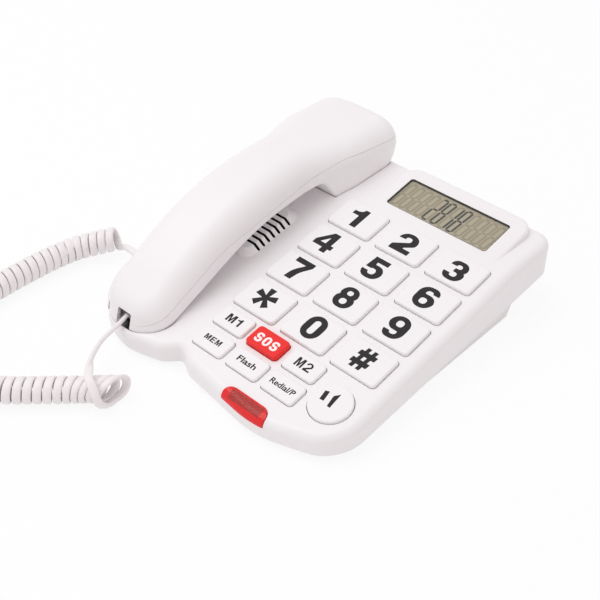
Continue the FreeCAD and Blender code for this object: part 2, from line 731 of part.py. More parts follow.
def handset_tunnel():
    """Opening in the handset's tip that leads to its socket."""
    a, middle = TUNNEL_WIDTH / 2, SOCKET_HEIGHT / 2
    return in_tip(block(-a, a, -2 * PLUG_LENGTH, FIT, middle - TUNNEL_HEIGHT / 2, middle + TUNNEL_HEIGHT / 2))


def line_socket():
    """Line socket on the cover's lid, mouth to the rear."""
    width, length, height = LINE_SOCKET_SIZE
    base = LID_RISE + FLOOR
    shell = block(LINE_SOCKET_X - width / 2, LINE_SOCKET_X + width / 2, REAR_Y - length, REAR_Y - WALL / 4,
                  base, base + height)
    w, depth, h = LINE_OPENING
    middle = base + height / 2
    mouth = block(LINE_SOCKET_X - w / 2, LINE_SOCKET_X + w / 2, REAR_Y - depth, REAR_Y, middle - h / 2,
                  middle + h / 2)
    return on_skirt(shell.cut(mouth))


def line_socket_room():
    """Cut-out in the rear wall round the line socket."""
    width, length, height = LINE_SOCKET_SIZE
    base = LID_RISE + FLOOR
    left, right = LINE_SOCKET_X - width / 2 - FIT, LINE_SOCKET_X + width / 2 + FIT
    return on_skirt(block(left, right, REAR_Y - length, 2 * REAR_Y, base - FIT, base + height + FIT))


def handset_parts():
    """Both shells with seats, ring and turrets, and everything inside them, in the part's frame."""
    outer = handset_block(0, CROWN_ROUND, HEEL_ROUND)
    inner = handset_block(HANDSET_WALL, CROWN_ROUND - HANDSET_WALL)
    skin = outer.cut(inner)
    lower = across(PARTING, 2 * HALF_WIDTH)
    back = skin.cut(lower)
    lower.translate(V(0, 0, -PARTING_LINE))
    face = skin.common(lower)

    ear = EAR_FLOOR + HANDSET_WALL
    mouth = grip_line(MICROPHONE_V) + HANDSET_WALL + RIB
    ring = rod(HANDSET_X, RECEIVER_V, RECEIVER_RADIUS + FIT + RIB, ear - RIB, ear + RECEIVER_HEIGHT / 2)
    ring = ring.cut(rod(HANDSET_X, RECEIVER_V, RECEIVER_RADIUS + FIT, ear - RIB, ear + RECEIVER_HEIGHT))
    seat = rod(HANDSET_X, MICROPHONE_V, MICROPHONE_RADIUS, mouth - 2 * HANDSET_WALL, mouth)
    face_adds = [ring, seat]
    back_adds = []
    face_cuts = [rod(HANDSET_X, MICROPHONE_V, SOUND_HOLE, -DEEP / 4, mouth)]
    face_cuts.append(rod(HANDSET_X, RECEIVER_V, SOUND_HOLE, -DEEP / 4, ear))
    for i in range(SOUND_HOLES):
        turn = 2 * math.pi * i / SOUND_HOLES
        x = HANDSET_X + SOUND_RING * math.cos(turn)
        v = RECEIVER_V + SOUND_RING * math.sin(turn)
        face_cuts.append(rod(x, v, SOUND_HOLE, -DEEP / 4, ear))
    back_cuts = []
    screws = []
    for v, h in HANDSET_SCREWS:
        top = h + FLOOR + TURRET_HEIGHT + FIT
        face_adds.append(rod(HANDSET_X, v, TURRET_RADIUS, h - FLOOR, top - FIT))
        face_cuts.append(rod(HANDSET_X, v, HEAD_RADIUS + FIT, -DEEP / 4, h + HEAD_SINK))
        face_cuts.append(rod(HANDSET_X, v, SHANK_RADIUS + FIT, h, top))
        back_adds.append(rod(HANDSET_X, v, BOSS_RADIUS, top, DEEP))
        back_cuts.append(rod(HANDSET_X, v, SHANK_RADIUS + FIT / 2, top, h + HEAD_SINK + SHANK_LENGTH + FIT))
        screws.append(on_panel(screw(HANDSET_X, v, h)))
    face = face.multiFuse([s.common(outer) for s in face_adds]).cut(face_cuts)
    back = back.multiFuse([s.common(outer) for s in back_adds]).cut(back_cuts)

    width, length, height = WEIGHT_SIZE
    return {
        "handset_back_shell": joined([on_panel(back).cut(handset_tunnel())]).Solids[0],
        "handset_face_shell": joined([on_panel(face).cut(handset_tunnel())]).Solids[0],
        "receiver_capsule": on_panel(rod(HANDSET_X, RECEIVER_V, RECEIVER_RADIUS, ear, ear + RECEIVER_HEIGHT)),
        "handset_microphone": on_panel(rod(HANDSET_X, MICROPHONE_V, MICROPHONE_RADIUS, mouth,
                                           mouth + MICROPHONE_HEIGHT)),
        "handset_weight": on_panel(pad(HANDSET_X, 0, width, length, WEIGHT_BASE, WEIGHT_BASE + height, RIB)),
        "handset_screws": Part.Compound(screws),
        "handset_socket": in_tip(socket_body(HANDSET_PLUG_OUT)),
        "handset_plug": in_tip(plug_body(HANDSET_PLUG_OUT)),
    }


def biarc(start, along, end, onward):
    """Two tangent arcs from one point and direction to another."""
    chord = end - start
    both = along + onward
    a = 2 * (along.dot(onward) - 1)
    b = -2 * chord.dot(both)
    c = chord.dot(chord)
    if abs(a) < 1e-9:
        reach = -c / b
    else:
        reach = (-b - math.sqrt(b * b - 4 * a * c)) / (2 * a)
    first = start + along * reach
    second = end - onward * reach
    middle = (first + second) * 0.5
    return [arc(start, first, middle), arc(middle, second, end)]


def arc(start, corner, end):
    """Arc tangent to both sides of a corner."""
    weight = (end - start).Length / (2 * (corner - start).Length)
    crest = (start + corner * (2 * weight) + end) * (1 / (2 + 2 * weight))
    return Part.Arc(start, crest, end).toShape()


def route(points):
    """Straight runs joined by tangent arcs, with the radii used."""
    points = [V(*p) for p in points]
    edges = []
    radii = []
    at = points[0]
    for before, corner, after in zip(points, points[1:], points[2:]):
        back, forth = before - corner, after - corner
        reach = BEND_SHARE * min(back.Length, forth.Length)
        back.normalize()
        forth.normalize()
        radii.append(round(reach * math.tan(back.getAngle(forth) / 2), 1))
        start, end = corner + back * reach, corner + forth * reach
        edges.append(Part.makeLine(at, start))
        edges.append(arc(start, corner, end))
        at = end
    edges.append(Part.makeLine(at, points[-1]))
    return edges, radii


def cord_tube(edges):
    """Faceted tube along a chain of edges, in one piece."""
    spine = Part.Wire(edges)
    first = edges[0]
    along = first.tangentAt(first.FirstParameter)
    start = first.valueAt(first.FirstParameter)
    side = along.cross(V(0, 0, 1))
    side.normalize()
    up = side.cross(along)
    corners = []
    for i in range(CORD_SIDES + 1):
        turn = 2 * math.pi * i / CORD_SIDES
        corners.append(start + (side * math.cos(turn) + up * math.sin(turn)) * CORD_RADIUS)
    sweep = Part.BRepOffsetAPI.MakePipeShell(spine)
    sweep.add(Part.makePolygon(corners))
    sweep.build()
    sweep.makeSolid()
    solid = sweep.shape()
    area = CORD_SIDES / 2 * CORD_RADIUS ** 2 * math.sin(2 * math.pi / CORD_SIDES)
    print("  length", round(spine.Length, 1), "volume over section times length",
          round(solid.Volume / (area * spine.Length), 4), "valid", solid.isValid())
    return solid


class Axis:
    """Centre line of the coil, read by distance from its start."""

    def __init__(self, points):
        self.edges, self.radii = route(points)
        self.length = sum(e.Length for e in self.edges)

    def at(self, distance):
        """Point, direction, side and up at a distance; past either end the line runs on straight."""
        inside = min(max(distance, 0), self.length)
        beyond = distance - inside
        for edge in self.edges:
            if inside <= edge.Length or edge is self.edges[-1]:
                break
            inside -= edge.Length
        step = edge.getParameterByLength(min(inside, edge.Length))
        along = edge.tangentAt(step)
        side = V(0, 0, 1).cross(along)
        side.normalize()
        return edge.valueAt(step) + along * beyond, along, side, along.cross(side)

    def turn(self, distance, radius, angle):
        """Point on a turn of the coil."""
        centre, along, side, up = self.at(distance)
        return centre + (side * math.cos(math.radians(angle)) + up * math.sin(math.radians(angle))) * radius


def wrap_point(axis, angle):
    """Point of the wide outer turn, by degrees back from the bottom of the first curl."""
    t = min(angle / WRAP_SPREAD, 1)
    radius = COIL_RADIUS + (WRAP_RADIUS - COIL_RADIUS) * t * t * (3 - 2 * t)
    back = max(0, angle - WRAP_START) / (180 - WRAP_START)
    return axis.turn(WRAP_REACH * back * back * (3 - 2 * back), radius, angle - 90)


def curl_point(axis, angle):
    """Point of the coil, by degrees on from the bottom of its first curl."""
    return axis.turn(angle / 360 * COIL_PITCH, COIL_RADIUS, -90 - angle)


def direction(points, axis, angle, sense):
    """Unit direction of travel at an angle, from points either side."""
    step = points(axis, angle + 0.5 * sense) - points(axis, angle - 0.5 * sense)
    step.normalize()
    return step


def base_lead_corner():
    """Where the lead turns towards the socket in the housing's left wall."""
    return on_left(Part.Vertex(0, -BASE_PLUG_OUT - BASE_LEAD_RUN, SOCKET_HEIGHT / 2)).Point


def coil_edges(axis):
    """The whole coil: straight end, outer turn over the first curls, curls, and a straight end again."""
    stops = []
    angle = 180.0
    while angle > 0:
        stops.append((wrap_point(axis, angle), direction(wrap_point, axis, angle, -1)))
        angle -= WRAP_STEP
    for i in range(2 * COIL_CURLS + 1):
        stops.append((curl_point(axis, 180 * i), direction(curl_point, axis, 180 * i, 1)))
    centre, along, side, up = axis.at(COIL_CURLS * COIL_PITCH)
    last, leaving = stops[-1]
    leave = last + leaving * EXIT_REACH + along * EXIT_REACH + up * EXIT_RISE
    heading = base_lead_corner() - leave
    heading.normalize()
    stops.append((leave, heading))
    first, entering = stops[0]
    edges = [Part.makeLine(first - entering * CORD_END, first)]
    for (p, t), (q, s) in zip(stops, stops[1:]):
        edges += biarc(p, t, q, s)
    last, leaving = stops[-1]
    edges.append(Part.makeLine(last, last + leaving * CORD_END))
    print("coil curls", COIL_CURLS, "on an axis of", round(axis.length, 1), "with radii", axis.radii)
    return edges


def least_gap(edges):
    """Smallest gap of a coil to itself, on points of its centre line."""
    points = []
    run = 0
    for edge in edges:
        for p in edge.discretize(7)[:-1]:
            points.append((run, p.x, p.y, p.z))
        run += edge.Length
    nearest = 1e9
    for i, (s, x, y, z) in enumerate(points):
        for far, a, b, c in points[i + 1:]:
            if far - s > 6 * CORD_RADIUS:
                nearest = min(nearest, (x - a) ** 2 + (y - b) ** 2 + (z - c) ** 2)
    return math.sqrt(nearest) - 2 * CORD_RADIUS


def cord_parts():
    """Coil and both leads."""
    axis = Axis(COIL_ROUTE)
    edges = coil_edges(axis)
    print("least gap of the coil to itself", round(least_gap(edges), 2))
    coil = cord_tube(edges)

    middle = SOCKET_HEIGHT / 2
    tail = in_tip(Part.Vertex(0, -HANDSET_PLUG_OUT, middle)).Point
    out = in_tip(Part.Vertex(0, -HANDSET_PLUG_OUT - HANDSET_LEAD_RUN, middle)).Point
    start = edges[0].valueAt(edges[0].FirstParameter)
    entering = edges[0].tangentAt(edges[0].FirstParameter)
    meet = start - entering * CORD_GAP
    near = meet - entering * (1.6 * CORD_END)
    points = [tail, out] + [V(*p) for p in HANDSET_LEAD] + [near, meet]
    lead_edges, radii = route(points)
    print("handset lead radii", radii, [tuple(round(c, 2) for c in p) for p in points])
    handset_lead = cord_tube(lead_edges)

    end = edges[-1].valueAt(edges[-1].LastParameter)
    entry = on_left(Part.Vertex(0, -BASE_PLUG_OUT, middle)).Point
    points = [end, base_lead_corner(), entry]
    base_edges, radii = route(points)
    print("base lead radii", radii, [tuple(round(c, 2) for c in p) for p in points])
    return {"cord_coil": coil, "cord_handset_lead": handset_lead, "cord_base_lead": cord_tube(base_edges)}


window, glass, tray = display_parts()
nodes = {
    "upper_housing": upper_housing(),
    "bottom_cover": bottom_cover(),
    "display_window": window,
    "lcd_glass": glass,
    "lcd_frame": tray,
    "main_board": main_board(),
    "key_mat": key_mat(),
    "loudspeaker": loudspeaker(),
    "hook_plunger": hook_plunger(),
    "hook_switch": hook_switch(),
    "line_socket": line_socket(),
    "base_cord_socket": on_left(socket_body(BASE_PLUG_OUT)),
    "base_plug": on_left(plug_body(BASE_PLUG_OUT)),
    "lamp_lens": lamp_lens(),
    "lamp_board": lamp_board(),
    "lamp_leds": lamp_leds(),
    "rubber_feet": Part.Compound([rod(x, y, FOOT_RADIUS, 0, FOOT_PROUD + FOOT_SINK) for x, y in FEET]),
    "case_screws": Part.Compound([screw(x, y, low) for x, y, low, top in screw_seats()]),
}
nodes.update(handset_parts())
for name, (x, v, width, length, rise) in key_table().items():
    nodes[name] = on_panel(key_solid(x, v, width, length, rise))
cords = cord_parts()

still = Part.Compound([shape for name, shape in nodes.items() if not name.endswith("plug")])
box = still.optimalBoundingBox(False, False)
centre = V(-box.Center.x, -box.Center.y, -box.ZMin)
nodes.update(cords)
for name, shape in nodes.items():
    shape.translate(centre)
    shape.exportStep("parts/" + name + ".step")
    print(name, "valid", shape.isValid(), "solids", len(shape.Solids), "volume", round(shape.Volume))
print("moved by", [round(c, 3) for c in centre])
print("size without cords", [round(c, 1) for c in (box.XLength, box.YLength, box.ZLength)])
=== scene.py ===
import json
import math

import bmesh
import bpy
from mathutils import Matrix, Vector
from mathutils.bvhtree import BVHTree


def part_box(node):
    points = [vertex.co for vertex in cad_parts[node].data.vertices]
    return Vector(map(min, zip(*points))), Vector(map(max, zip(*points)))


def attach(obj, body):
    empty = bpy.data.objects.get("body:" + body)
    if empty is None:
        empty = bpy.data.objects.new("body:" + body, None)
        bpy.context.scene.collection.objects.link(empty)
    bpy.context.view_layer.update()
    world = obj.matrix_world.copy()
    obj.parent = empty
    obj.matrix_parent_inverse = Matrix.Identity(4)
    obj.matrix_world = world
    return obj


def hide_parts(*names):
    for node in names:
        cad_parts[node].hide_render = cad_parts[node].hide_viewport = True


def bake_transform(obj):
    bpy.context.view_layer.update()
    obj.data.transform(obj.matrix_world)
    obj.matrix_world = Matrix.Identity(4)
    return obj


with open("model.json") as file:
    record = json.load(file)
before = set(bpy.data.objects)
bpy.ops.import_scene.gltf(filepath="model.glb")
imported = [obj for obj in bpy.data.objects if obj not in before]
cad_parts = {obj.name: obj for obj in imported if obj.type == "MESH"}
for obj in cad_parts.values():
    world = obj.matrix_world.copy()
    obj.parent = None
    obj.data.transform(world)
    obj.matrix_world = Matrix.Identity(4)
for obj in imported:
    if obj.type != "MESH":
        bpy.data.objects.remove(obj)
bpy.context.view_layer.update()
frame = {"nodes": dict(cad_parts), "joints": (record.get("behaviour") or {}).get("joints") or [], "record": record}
cad = frame["nodes"]
scene = bpy.context.scene
MM = 0.001

# Camera: place in metres, dip and heading in degrees, lens and sensor in millimetres
CAMERA_PLACE = (0.28347, -0.32195, 0.36311)
CAMERA_DIP = 40.24
CAMERA_HEADING = 42.89
CAMERA_LENS = 66.0
SENSOR_WIDTH = 36.0

# Curly cord: flat section in metres, with the power that squares its corners and its number of sides
CORD_WIDTH = 0.0041
CORD_THICK = 0.0022
CORD_SQUARE = 0.7
CORD_SIDES = 20

# Drawing of the cord: steps of a route and a curl, degrees to find a heading, and how slowly it twists
ROUTE_STEPS = 24
CURL_STEPS = 24
HEADING_STEP = 0.5
TWIST_DRAG = 2.0

# Routes in metres, as they lie before the shift that centres the model
CENTRING = Vector((0, -0.00641, 0))
COIL_ROUTE = [
    (-0.0213, -0.1105, 0.0074), (-0.0422, -0.1312, 0.0074), (-0.0685, -0.1559, 0.0074),
    (-0.0997, -0.1555, 0.0074), (-0.1215, -0.1333, 0.0074), (-0.1225, -0.0880, 0.0074),
    (-0.1198, -0.0600, 0.0076), (-0.1110, -0.0460, 0.0094), (-0.1010, -0.0343, 0.0120),
]
HANDSET_LEAD = [
    (-0.0485, -0.07784, 0.01732), (-0.0485, -0.08582, 0.01384), (-0.0468, -0.0965, 0.0136),
    (-0.0425, -0.1040, 0.0150),
]
BASE_LEAD = [(-0.0945, -0.0402, 0.0096), (-0.0882, -0.04234, 0.01222), (-0.0820, -0.04234, 0.01222)]

# Curls, and the wide outer turn before them: metres and degrees
COIL_RADIUS = 0.0054
COIL_PITCH = 0.0046
COIL_CURLS = 48
CURL_GAP = 0.0003
END_LEAN = 0.95
END_SPREAD = 0.028
WRAP_RADIUS = 0.0096
WRAP_REACH = 0.0118
WRAP_SPREAD = 100.0
WRAP_START = 50.0

# Straight leads: how they meet the coil, and which way the flat cord faces
LEAD_MEET = 0.004
LEAD_RUN = 0.0064
LEAD_FACE = (0.55, -0.62, 0.56)
LEAD_TWIST = 0.72
LEAD_WIDTH = 0.0033
EXIT_REACH = 0.003
EXIT_RISE = 0.0012

# Throat of the handset's socket, where painted shade turns the handset's white black: direction of its depth, and
# half sizes in metres
THROAT_OUT = (0, -0.917, -0.400)
THROAT_HALF = (0.00425, 0.010, 0.00375)

# Colours as they look, 0 to 255
CASE_WHITE = (246, 243, 244)
KEY_WHITE = (247, 245, 246)
ALARM_RED = (242, 48, 45)
LENS_RED = (240, 34, 38)
GRID_RED = (158, 62, 55)
# Black of the painted shade in the handset socket's throat and in the speaker slots
SHADE_BLACK = (14, 14, 15)
INK = (44, 42, 43)
INK_WHITE = (250, 246, 246)
LCD_GROUND = (173, 163, 139)
LCD_MARK = (24, 22, 14)
LCD_GHOST = (147, 137, 112)
CORD_WHITE = (245, 240, 241)
PANE_CLEAR = (236, 236, 230)
PART_BLACK = (38, 38, 40)
PART_WHITE = (222, 221, 219)
BOARD_GREEN = (30, 96, 56)
MAT_GREY = (176, 176, 174)
FOOT_BLACK = (46, 46, 47)
STEEL_GREY = (190, 190, 192)
# Clear plastic of the plugs, darkened to a mid grey that paints the shade in the sockets' throats
CONTACT_GOLD = (212, 170, 92)
PLUG_SHADED_GREY = (118, 116, 113)
FLOOR_WHITE = (252, 252, 252)

# Shading: edges sharper than the angle stay crisp
SMOOTH_ANGLE = 28.0
BUMP_STRENGTH = 0.5

# Sockets of a colour mix node, by their place in its lists
MIX_A = 6
MIX_B = 7
MIX_RESULT = 2


def linear(colour):
    """Scene-linear colour from one written as it looks."""
    shares = [c / 255 for c in colour]
    return (*[c / 12.92 if c <= 0.04045 else ((c + 0.055) / 1.055) ** 2.4 for c in shares], 1.0)


def added(name, data):
    """New object in the scene."""
    made = bpy.data.objects.new(name, data)
    scene.collection.objects.link(made)
    return made


# Camera

camera = added("camera", bpy.data.cameras.new("camera"))
camera.location = CAMERA_PLACE
camera.rotation_euler = (math.radians(90 - CAMERA_DIP), 0, math.radians(CAMERA_HEADING))
camera.data.lens = CAMERA_LENS
camera.data.sensor_width = SENSOR_WIDTH
scene.camera = camera
scene.view_settings.view_transform = "Standard"


# Materials


def new_node(tree, kind, **settings):
    """Shader node of a kind, with its settings."""
    node = tree.nodes.new("ShaderNode" + kind)
    for setting, value in settings.items():
        setattr(node, setting, value)
    return node


def greatest(tree, values):
    """Output that gives the greatest of several node outputs."""
    most = values[0]
    for value in values[1:]:
        node = new_node(tree, "Math", operation="MAXIMUM")
        tree.links.new(most, node.inputs[0])
        tree.links.new(value, node.inputs[1])
        most = node.outputs[0]
    return most


def colour_mix(tree, factor):
    """Mix node for two colours, led by a factor."""
    mix = new_node(tree, "Mix", data_type="RGBA")
    tree.links.new(factor, mix.inputs["Factor"])
    return mix


class Finish:
    """Node material in object coordinates, built up by layers of noise whose sizes are in millimetres."""

    def __init__(self, name, colour, roughness, **sockets):
        self.material = bpy.data.materials.new(name)
        self.material.use_nodes = True
        self.tree = self.material.node_tree
        self.shader = self.tree.nodes["Principled BSDF"]
        self.colour = linear(colour)
        self.shader.inputs["Base Color"].default_value = self.colour
        self.shader.inputs["Roughness"].default_value = roughness
        for socket, value in sockets.items():
            self.shader.inputs[socket.replace("_", " ")].default_value = value
        self.place = new_node(self.tree, "TexCoord").outputs["Object"]

    def noise(self, size, detail=2.0):
        """Noise whose features have about the size given."""
        node = new_node(self.tree, "TexNoise")
        node.inputs["Scale"].default_value = 1 / (size * MM)
        node.inputs["Detail"].default_value = detail
        self.tree.links.new(self.place, node.inputs["Vector"])
        return node.outputs["Fac"]

    def mottled(self, size, spread):
        """Colour that drifts lighter and darker by the spread."""
        mix = colour_mix(self.tree, self.noise(size))
        for socket, sign in ((MIX_A, -1), (MIX_B, 1)):
            shade = [min(c * (1 + sign * spread), 1) for c in self.colour[:3]]
            mix.inputs[socket].default_value = (*shade, 1)
        self.tree.links.new(mix.outputs[MIX_RESULT], self.shader.inputs["Base Color"])
        return self

    def worn(self, size, low, high):
        """Roughness that drifts between two values."""
        span = new_node(self.tree, "MapRange")
        span.inputs["To Min"].default_value = low
        span.inputs["To Max"].default_value = high
        self.tree.links.new(self.noise(size), span.inputs["Value"])
        self.tree.links.new(span.outputs["Result"], self.shader.inputs["Roughness"])
        return self

    def grained(self, size, depth, detail=3.0):
        """Fine moulded texture of the depth given."""
        bump = new_node(self.tree, "Bump")
        bump.inputs["Strength"].default_value = BUMP_STRENGTH
        bump.inputs["Distance"].default_value = depth * MM
        self.tree.links.new(self.noise(size, detail), bump.inputs["Height"])
        self.tree.links.new(bump.outputs["Normal"], self.shader.inputs["Normal"])
        return self

    def paint_shade_within(self, middle, out, half):
        """Painted shade: colour turned black inside a box, where a recess lies in shade: its middle, direction of
        depth and half sizes in metres.
        """
        box = new_node(self.tree, "Mapping", vector_type="TEXTURE")
        box.inputs["Location"].default_value = middle
        box.inputs["Rotation"].default_value = Vector(out).to_track_quat("Y", "Z").to_euler()
        box.inputs["Scale"].default_value = half
        sizes = new_node(self.tree, "VectorMath", operation="ABSOLUTE")
        parts = new_node(self.tree, "SeparateXYZ")
        self.tree.links.new(self.place, box.inputs["Vector"])
        self.tree.links.new(box.outputs["Vector"], sizes.inputs[0])
        self.tree.links.new(sizes.outputs["Vector"], parts.inputs["Vector"])
        inside = new_node(self.tree, "Math", operation="LESS_THAN")
        inside.inputs[1].default_value = 1
        self.tree.links.new(greatest(self.tree, [parts.outputs[axis] for axis in "XYZ"]), inside.inputs[0])
        mix = colour_mix(self.tree, inside.outputs[0])
        mix.inputs[MIX_B].default_value = linear(SHADE_BLACK)
        mottled = self.shader.inputs["Base Color"].links[0].from_socket
        self.tree.links.new(mottled, mix.inputs[MIX_A])
        self.tree.links.new(mix.outputs[MIX_RESULT], self.shader.inputs["Base Color"])
        return self


def case_plastic(name):
    """White moulded plastic of the casings."""
    return Finish(name, CASE_WHITE, 0.38).mottled(40, 0.012).worn(20, 0.34, 0.44).grained(0.6, 0.01)


# Finishes: colour and roughness, then mottled(size, spread), worn(size, low, high), grained(size, depth)
case_white = case_plastic("case_white")
handset_white = case_plastic("handset_white")
# Painted shade: the throat of the handset's socket is coloured black in place of the white
handset_white.paint_shade_within(Vector(HANDSET_LEAD[0]) + CENTRING, THROAT_OUT, THROAT_HALF)
key_white = Finish("key_white", KEY_WHITE, 0.42)
key_white.mottled(12, 0.012).worn(8, 0.36, 0.48).grained(0.4, 0.008)
key_red = Finish("key_red", ALARM_RED, 0.45, Specular_IOR_Level=0.25)
key_red.mottled(6, 0.05).worn(6, 0.3, 0.42).grained(0.4, 0.008)
lamp_red = Finish("lamp_red", LENS_RED, 0.16, Alpha=0.9, Specular_IOR_Level=0.4)
lamp_red.mottled(4, 0.08).grained(3, 0.01, detail=1.0)
lamp_grid = Finish("lamp_grid", GRID_RED, 0.3, Specular_IOR_Level=0.3).mottled(2, 0.2)
window_clear = Finish("window_clear", PANE_CLEAR, 0.08, Alpha=0.04, Specular_IOR_Level=0.15)
window_clear.mottled(20, 0.02).grained(4, 0.004, detail=1.0)
lcd_ground = Finish("lcd_ground", LCD_GROUND, 0.5).mottled(12, 0.05).grained(0.3, 0.004)
lcd_mark = Finish("lcd_mark", LCD_MARK, 0.5).mottled(3, 0.15)
lcd_ghost = Finish("lcd_ghost", LCD_GHOST, 0.5).mottled(6, 0.06)
part_black = Finish("part_black", PART_BLACK, 0.5).mottled(3, 0.2).grained(0.5, 0.02)
part_white = Finish("part_white", PART_WHITE, 0.5).mottled(10, 0.03).grained(0.6, 0.01)
board_green = Finish("board_green", BOARD_GREEN, 0.35).mottled(4, 0.25).grained(0.8, 0.02)
rubber_grey = Finish("rubber_grey", MAT_GREY, 0.75).mottled(4, 0.06).grained(0.4, 0.02)
rubber_black = Finish("rubber_black", FOOT_BLACK, 0.8).mottled(3, 0.2).grained(0.5, 0.04)
steel = Finish("steel", STEEL_GREY, 0.3, Metallic=1.0).mottled(2, 0.06).worn(2, 0.22, 0.4)
contact_gold = Finish("contact_gold", CONTACT_GOLD, 0.28, Metallic=1.0).mottled(1, 0.1).worn(1, 0.2, 0.4)
# Plugs: clear plastic whose grey is partly painted shade of the throats they sit in
plug_clear = Finish("plug_clear", PLUG_SHADED_GREY, 0.12, Alpha=0.75).mottled(2, 0.06).grained(1, 0.01)
cord_white = Finish("cord_white", CORD_WHITE, 0.36, Sheen_Weight=0.1)
cord_white.mottled(10, 0.02).worn(6, 0.3, 0.45).grained(0.8, 0.02)
# Black of the strips that paint the shade inside the speaker slots
slot_shade_black = Finish("slot_shade_black", SHADE_BLACK, 0.95, Specular_IOR_Level=0.1)
slot_shade_black.mottled(1, 0.4).grained(0.3, 0.04)
ink = Finish("ink", INK, 0.6, Specular_IOR_Level=0.2).mottled(2, 0.12).grained(0.3, 0.006)
ink_white = Finish("ink_white", INK_WHITE, 0.45).mottled(2, 0.02).grained(0.3, 0.006)

# Finish of each solid, apart from the white keys and the cord's hidden solids
NODE_FINISH = {
    "upper_housing": case_white, "bottom_cover": case_white, "handset_back_shell": handset_white,
    "handset_face_shell": handset_white, "key_sos": key_red, "lamp_lens": lamp_red, "lamp_leds": lamp_red,
    "display_window": window_clear, "lcd_glass": lcd_ground, "lcd_frame": part_black,
    "main_board": board_green, "lamp_board": board_green, "key_mat": rubber_grey, "loudspeaker": part_black,
    "hook_plunger": part_white, "hook_switch": part_black, "line_socket": part_black,
    "base_cord_socket": part_black, "handset_socket": part_black, "base_plug": plug_clear,
    "handset_plug": plug_clear, "rubber_feet": rubber_black, "case_screws": steel, "handset_screws": steel,
    "handset_weight": steel, "receiver_capsule": part_black, "handset_microphone": part_black,
}


def dressed(piece, finish):
    """Piece with one material and soft shading between its sharp edges."""
    piece.data.materials.clear()
    piece.data.materials.append(finish.material)
    piece.data.shade_smooth()
    piece.data.set_sharp_from_angle(angle=math.radians(SMOOTH_ANGLE))
    return piece


for name, node in cad.items():
    dressed(node, NODE_FINISH.get(name, key_white))


# Curly cord


def spline_points(name, controls):
    """Points along the smooth spline that follows a route."""
    curve = bpy.data.curves.new(name, "CURVE")
    curve.dimensions = "3D"
    spline = curve.splines.new("NURBS")
    spline.points.add(len(controls) - 1)
    for point, place in zip(spline.points, controls):
        point.co = (*place, 1)
    spline.order_u = 3
    spline.use_endpoint_u = True
    spline.resolution_u = ROUTE_STEPS
    holder = added(name, curve)
    mesh = bpy.data.meshes.new_from_object(holder)
    points = [v.co.copy() for v in mesh.vertices]
    bpy.data.objects.remove(holder)
    bpy.data.curves.remove(curve)
    bpy.data.meshes.remove(mesh)
    return points


def centred(route):
    """Points of a route, shifted as the model is."""
    return [Vector(place) + CENTRING for place in route]


def eased(share):
    """Smooth step from 0 to 1."""
    share = min(max(share, 0), 1)
    return share * share * (3 - 2 * share)


class Axis:
    """Centre line of the coil, read by distance from its start."""

    def __init__(self, points):
        self.points = points
        self.runs = [0.0]
        for a, b in zip(points, points[1:]):
            self.runs.append(self.runs[-1] + (b - a).length)
        self.length = self.runs[-1]

    def along(self, i):
        """Direction at a point."""
        last = len(self.points) - 1
        return (self.points[min(i + 1, last)] - self.points[max(i - 1, 0)]).normalized()

    def at(self, distance):
        """Point and direction at a distance."""
        inside = min(max(distance, 0), self.length)
        i = max(j for j, run in enumerate(self.runs[:-1]) if run <= inside)
        share = (inside - self.runs[i]) / (self.runs[i + 1] - self.runs[i])
        along = self.along(i).lerp(self.along(i + 1), share).normalized()
        return self.points[i].lerp(self.points[i + 1], share) + along * (distance - inside), along

    def turn(self, distance, radius, angle, spread):
        """Point on a turn of the coil, which leans near its start, with the coil's direction there."""
        centre, along = self.at(distance)
        side = Vector((0, 0, 1)).cross(along).normalized()
        up = along.cross(side)
        turn = math.radians(angle)
        lean = END_LEAN * COIL_RADIUS * eased(1 - distance / spread) * math.cos(turn)
        return centre + (side * math.cos(turn) + up * math.sin(turn)) * radius + along * lean, along


def wrap_point(axis, angle):
    """Point of the wide outer turn, by degrees back from the bottom of the first curl."""
    radius = COIL_RADIUS + (WRAP_RADIUS - COIL_RADIUS) * eased(angle / WRAP_SPREAD)
    back = eased((angle - WRAP_START) / (180 - WRAP_START))
    return axis.turn(WRAP_REACH * back, radius, angle - 90, WRAP_REACH)


def curl_point(axis, angle):
    """Point of the coil, by degrees on from the bottom of its first curl."""
    return axis.turn(angle / 360 * COIL_PITCH, COIL_RADIUS, -90 - angle, END_SPREAD)


def heading(turn, axis, angle):
    """Direction in which a turn's angle grows, at an angle of it."""
    return (turn(axis, angle + HEADING_STEP)[0] - turn(axis, angle - HEADING_STEP)[0]).normalized()


def coil_turns(axis):
    """Half of the outer turn and all curls, as (point, coil's direction)."""
    step = 360 / CURL_STEPS
    turns = [wrap_point(axis, 180 - step * i) for i in range(CURL_STEPS // 2)]
    turns += [curl_point(axis, step * i) for i in range(COIL_CURLS * CURL_STEPS + 1)]
    return turns


def curl_widths(points):
    """Cord's width at each point of the curls, less where they crowd on the inside of a bend."""
    widths = []
    for i, point in enumerate(points):
        beside = [points[k] for k in (i - CURL_STEPS, i + CURL_STEPS) if 0 <= k < len(points)]
        room = min((point - other).length for other in beside)
        widths.append(min(CORD_WIDTH, room - CURL_GAP))
    return widths


def handset_lead(axis, end, across):
    """Lead from the handset's plug to the outer turn, which it meets flat and at full width."""
    entering = -heading(wrap_point, axis, 180)
    meet = end - entering * LEAD_MEET
    controls = centred(HANDSET_LEAD) + [meet - entering * LEAD_RUN, meet, end]
    points = spline_points("handset_lead", controls)[:-1]
    face = Vector(LEAD_FACE)
    if face.dot(across) < 0:
        across = -across
    lead = []
    for i, point in enumerate(points):
        share = eased((i / len(points) - LEAD_TWIST) / (1 - LEAD_TWIST))
        width = LEAD_WIDTH + (CORD_WIDTH - LEAD_WIDTH) * share
        lead.append((point, face.lerp(across, share), width))
    return lead


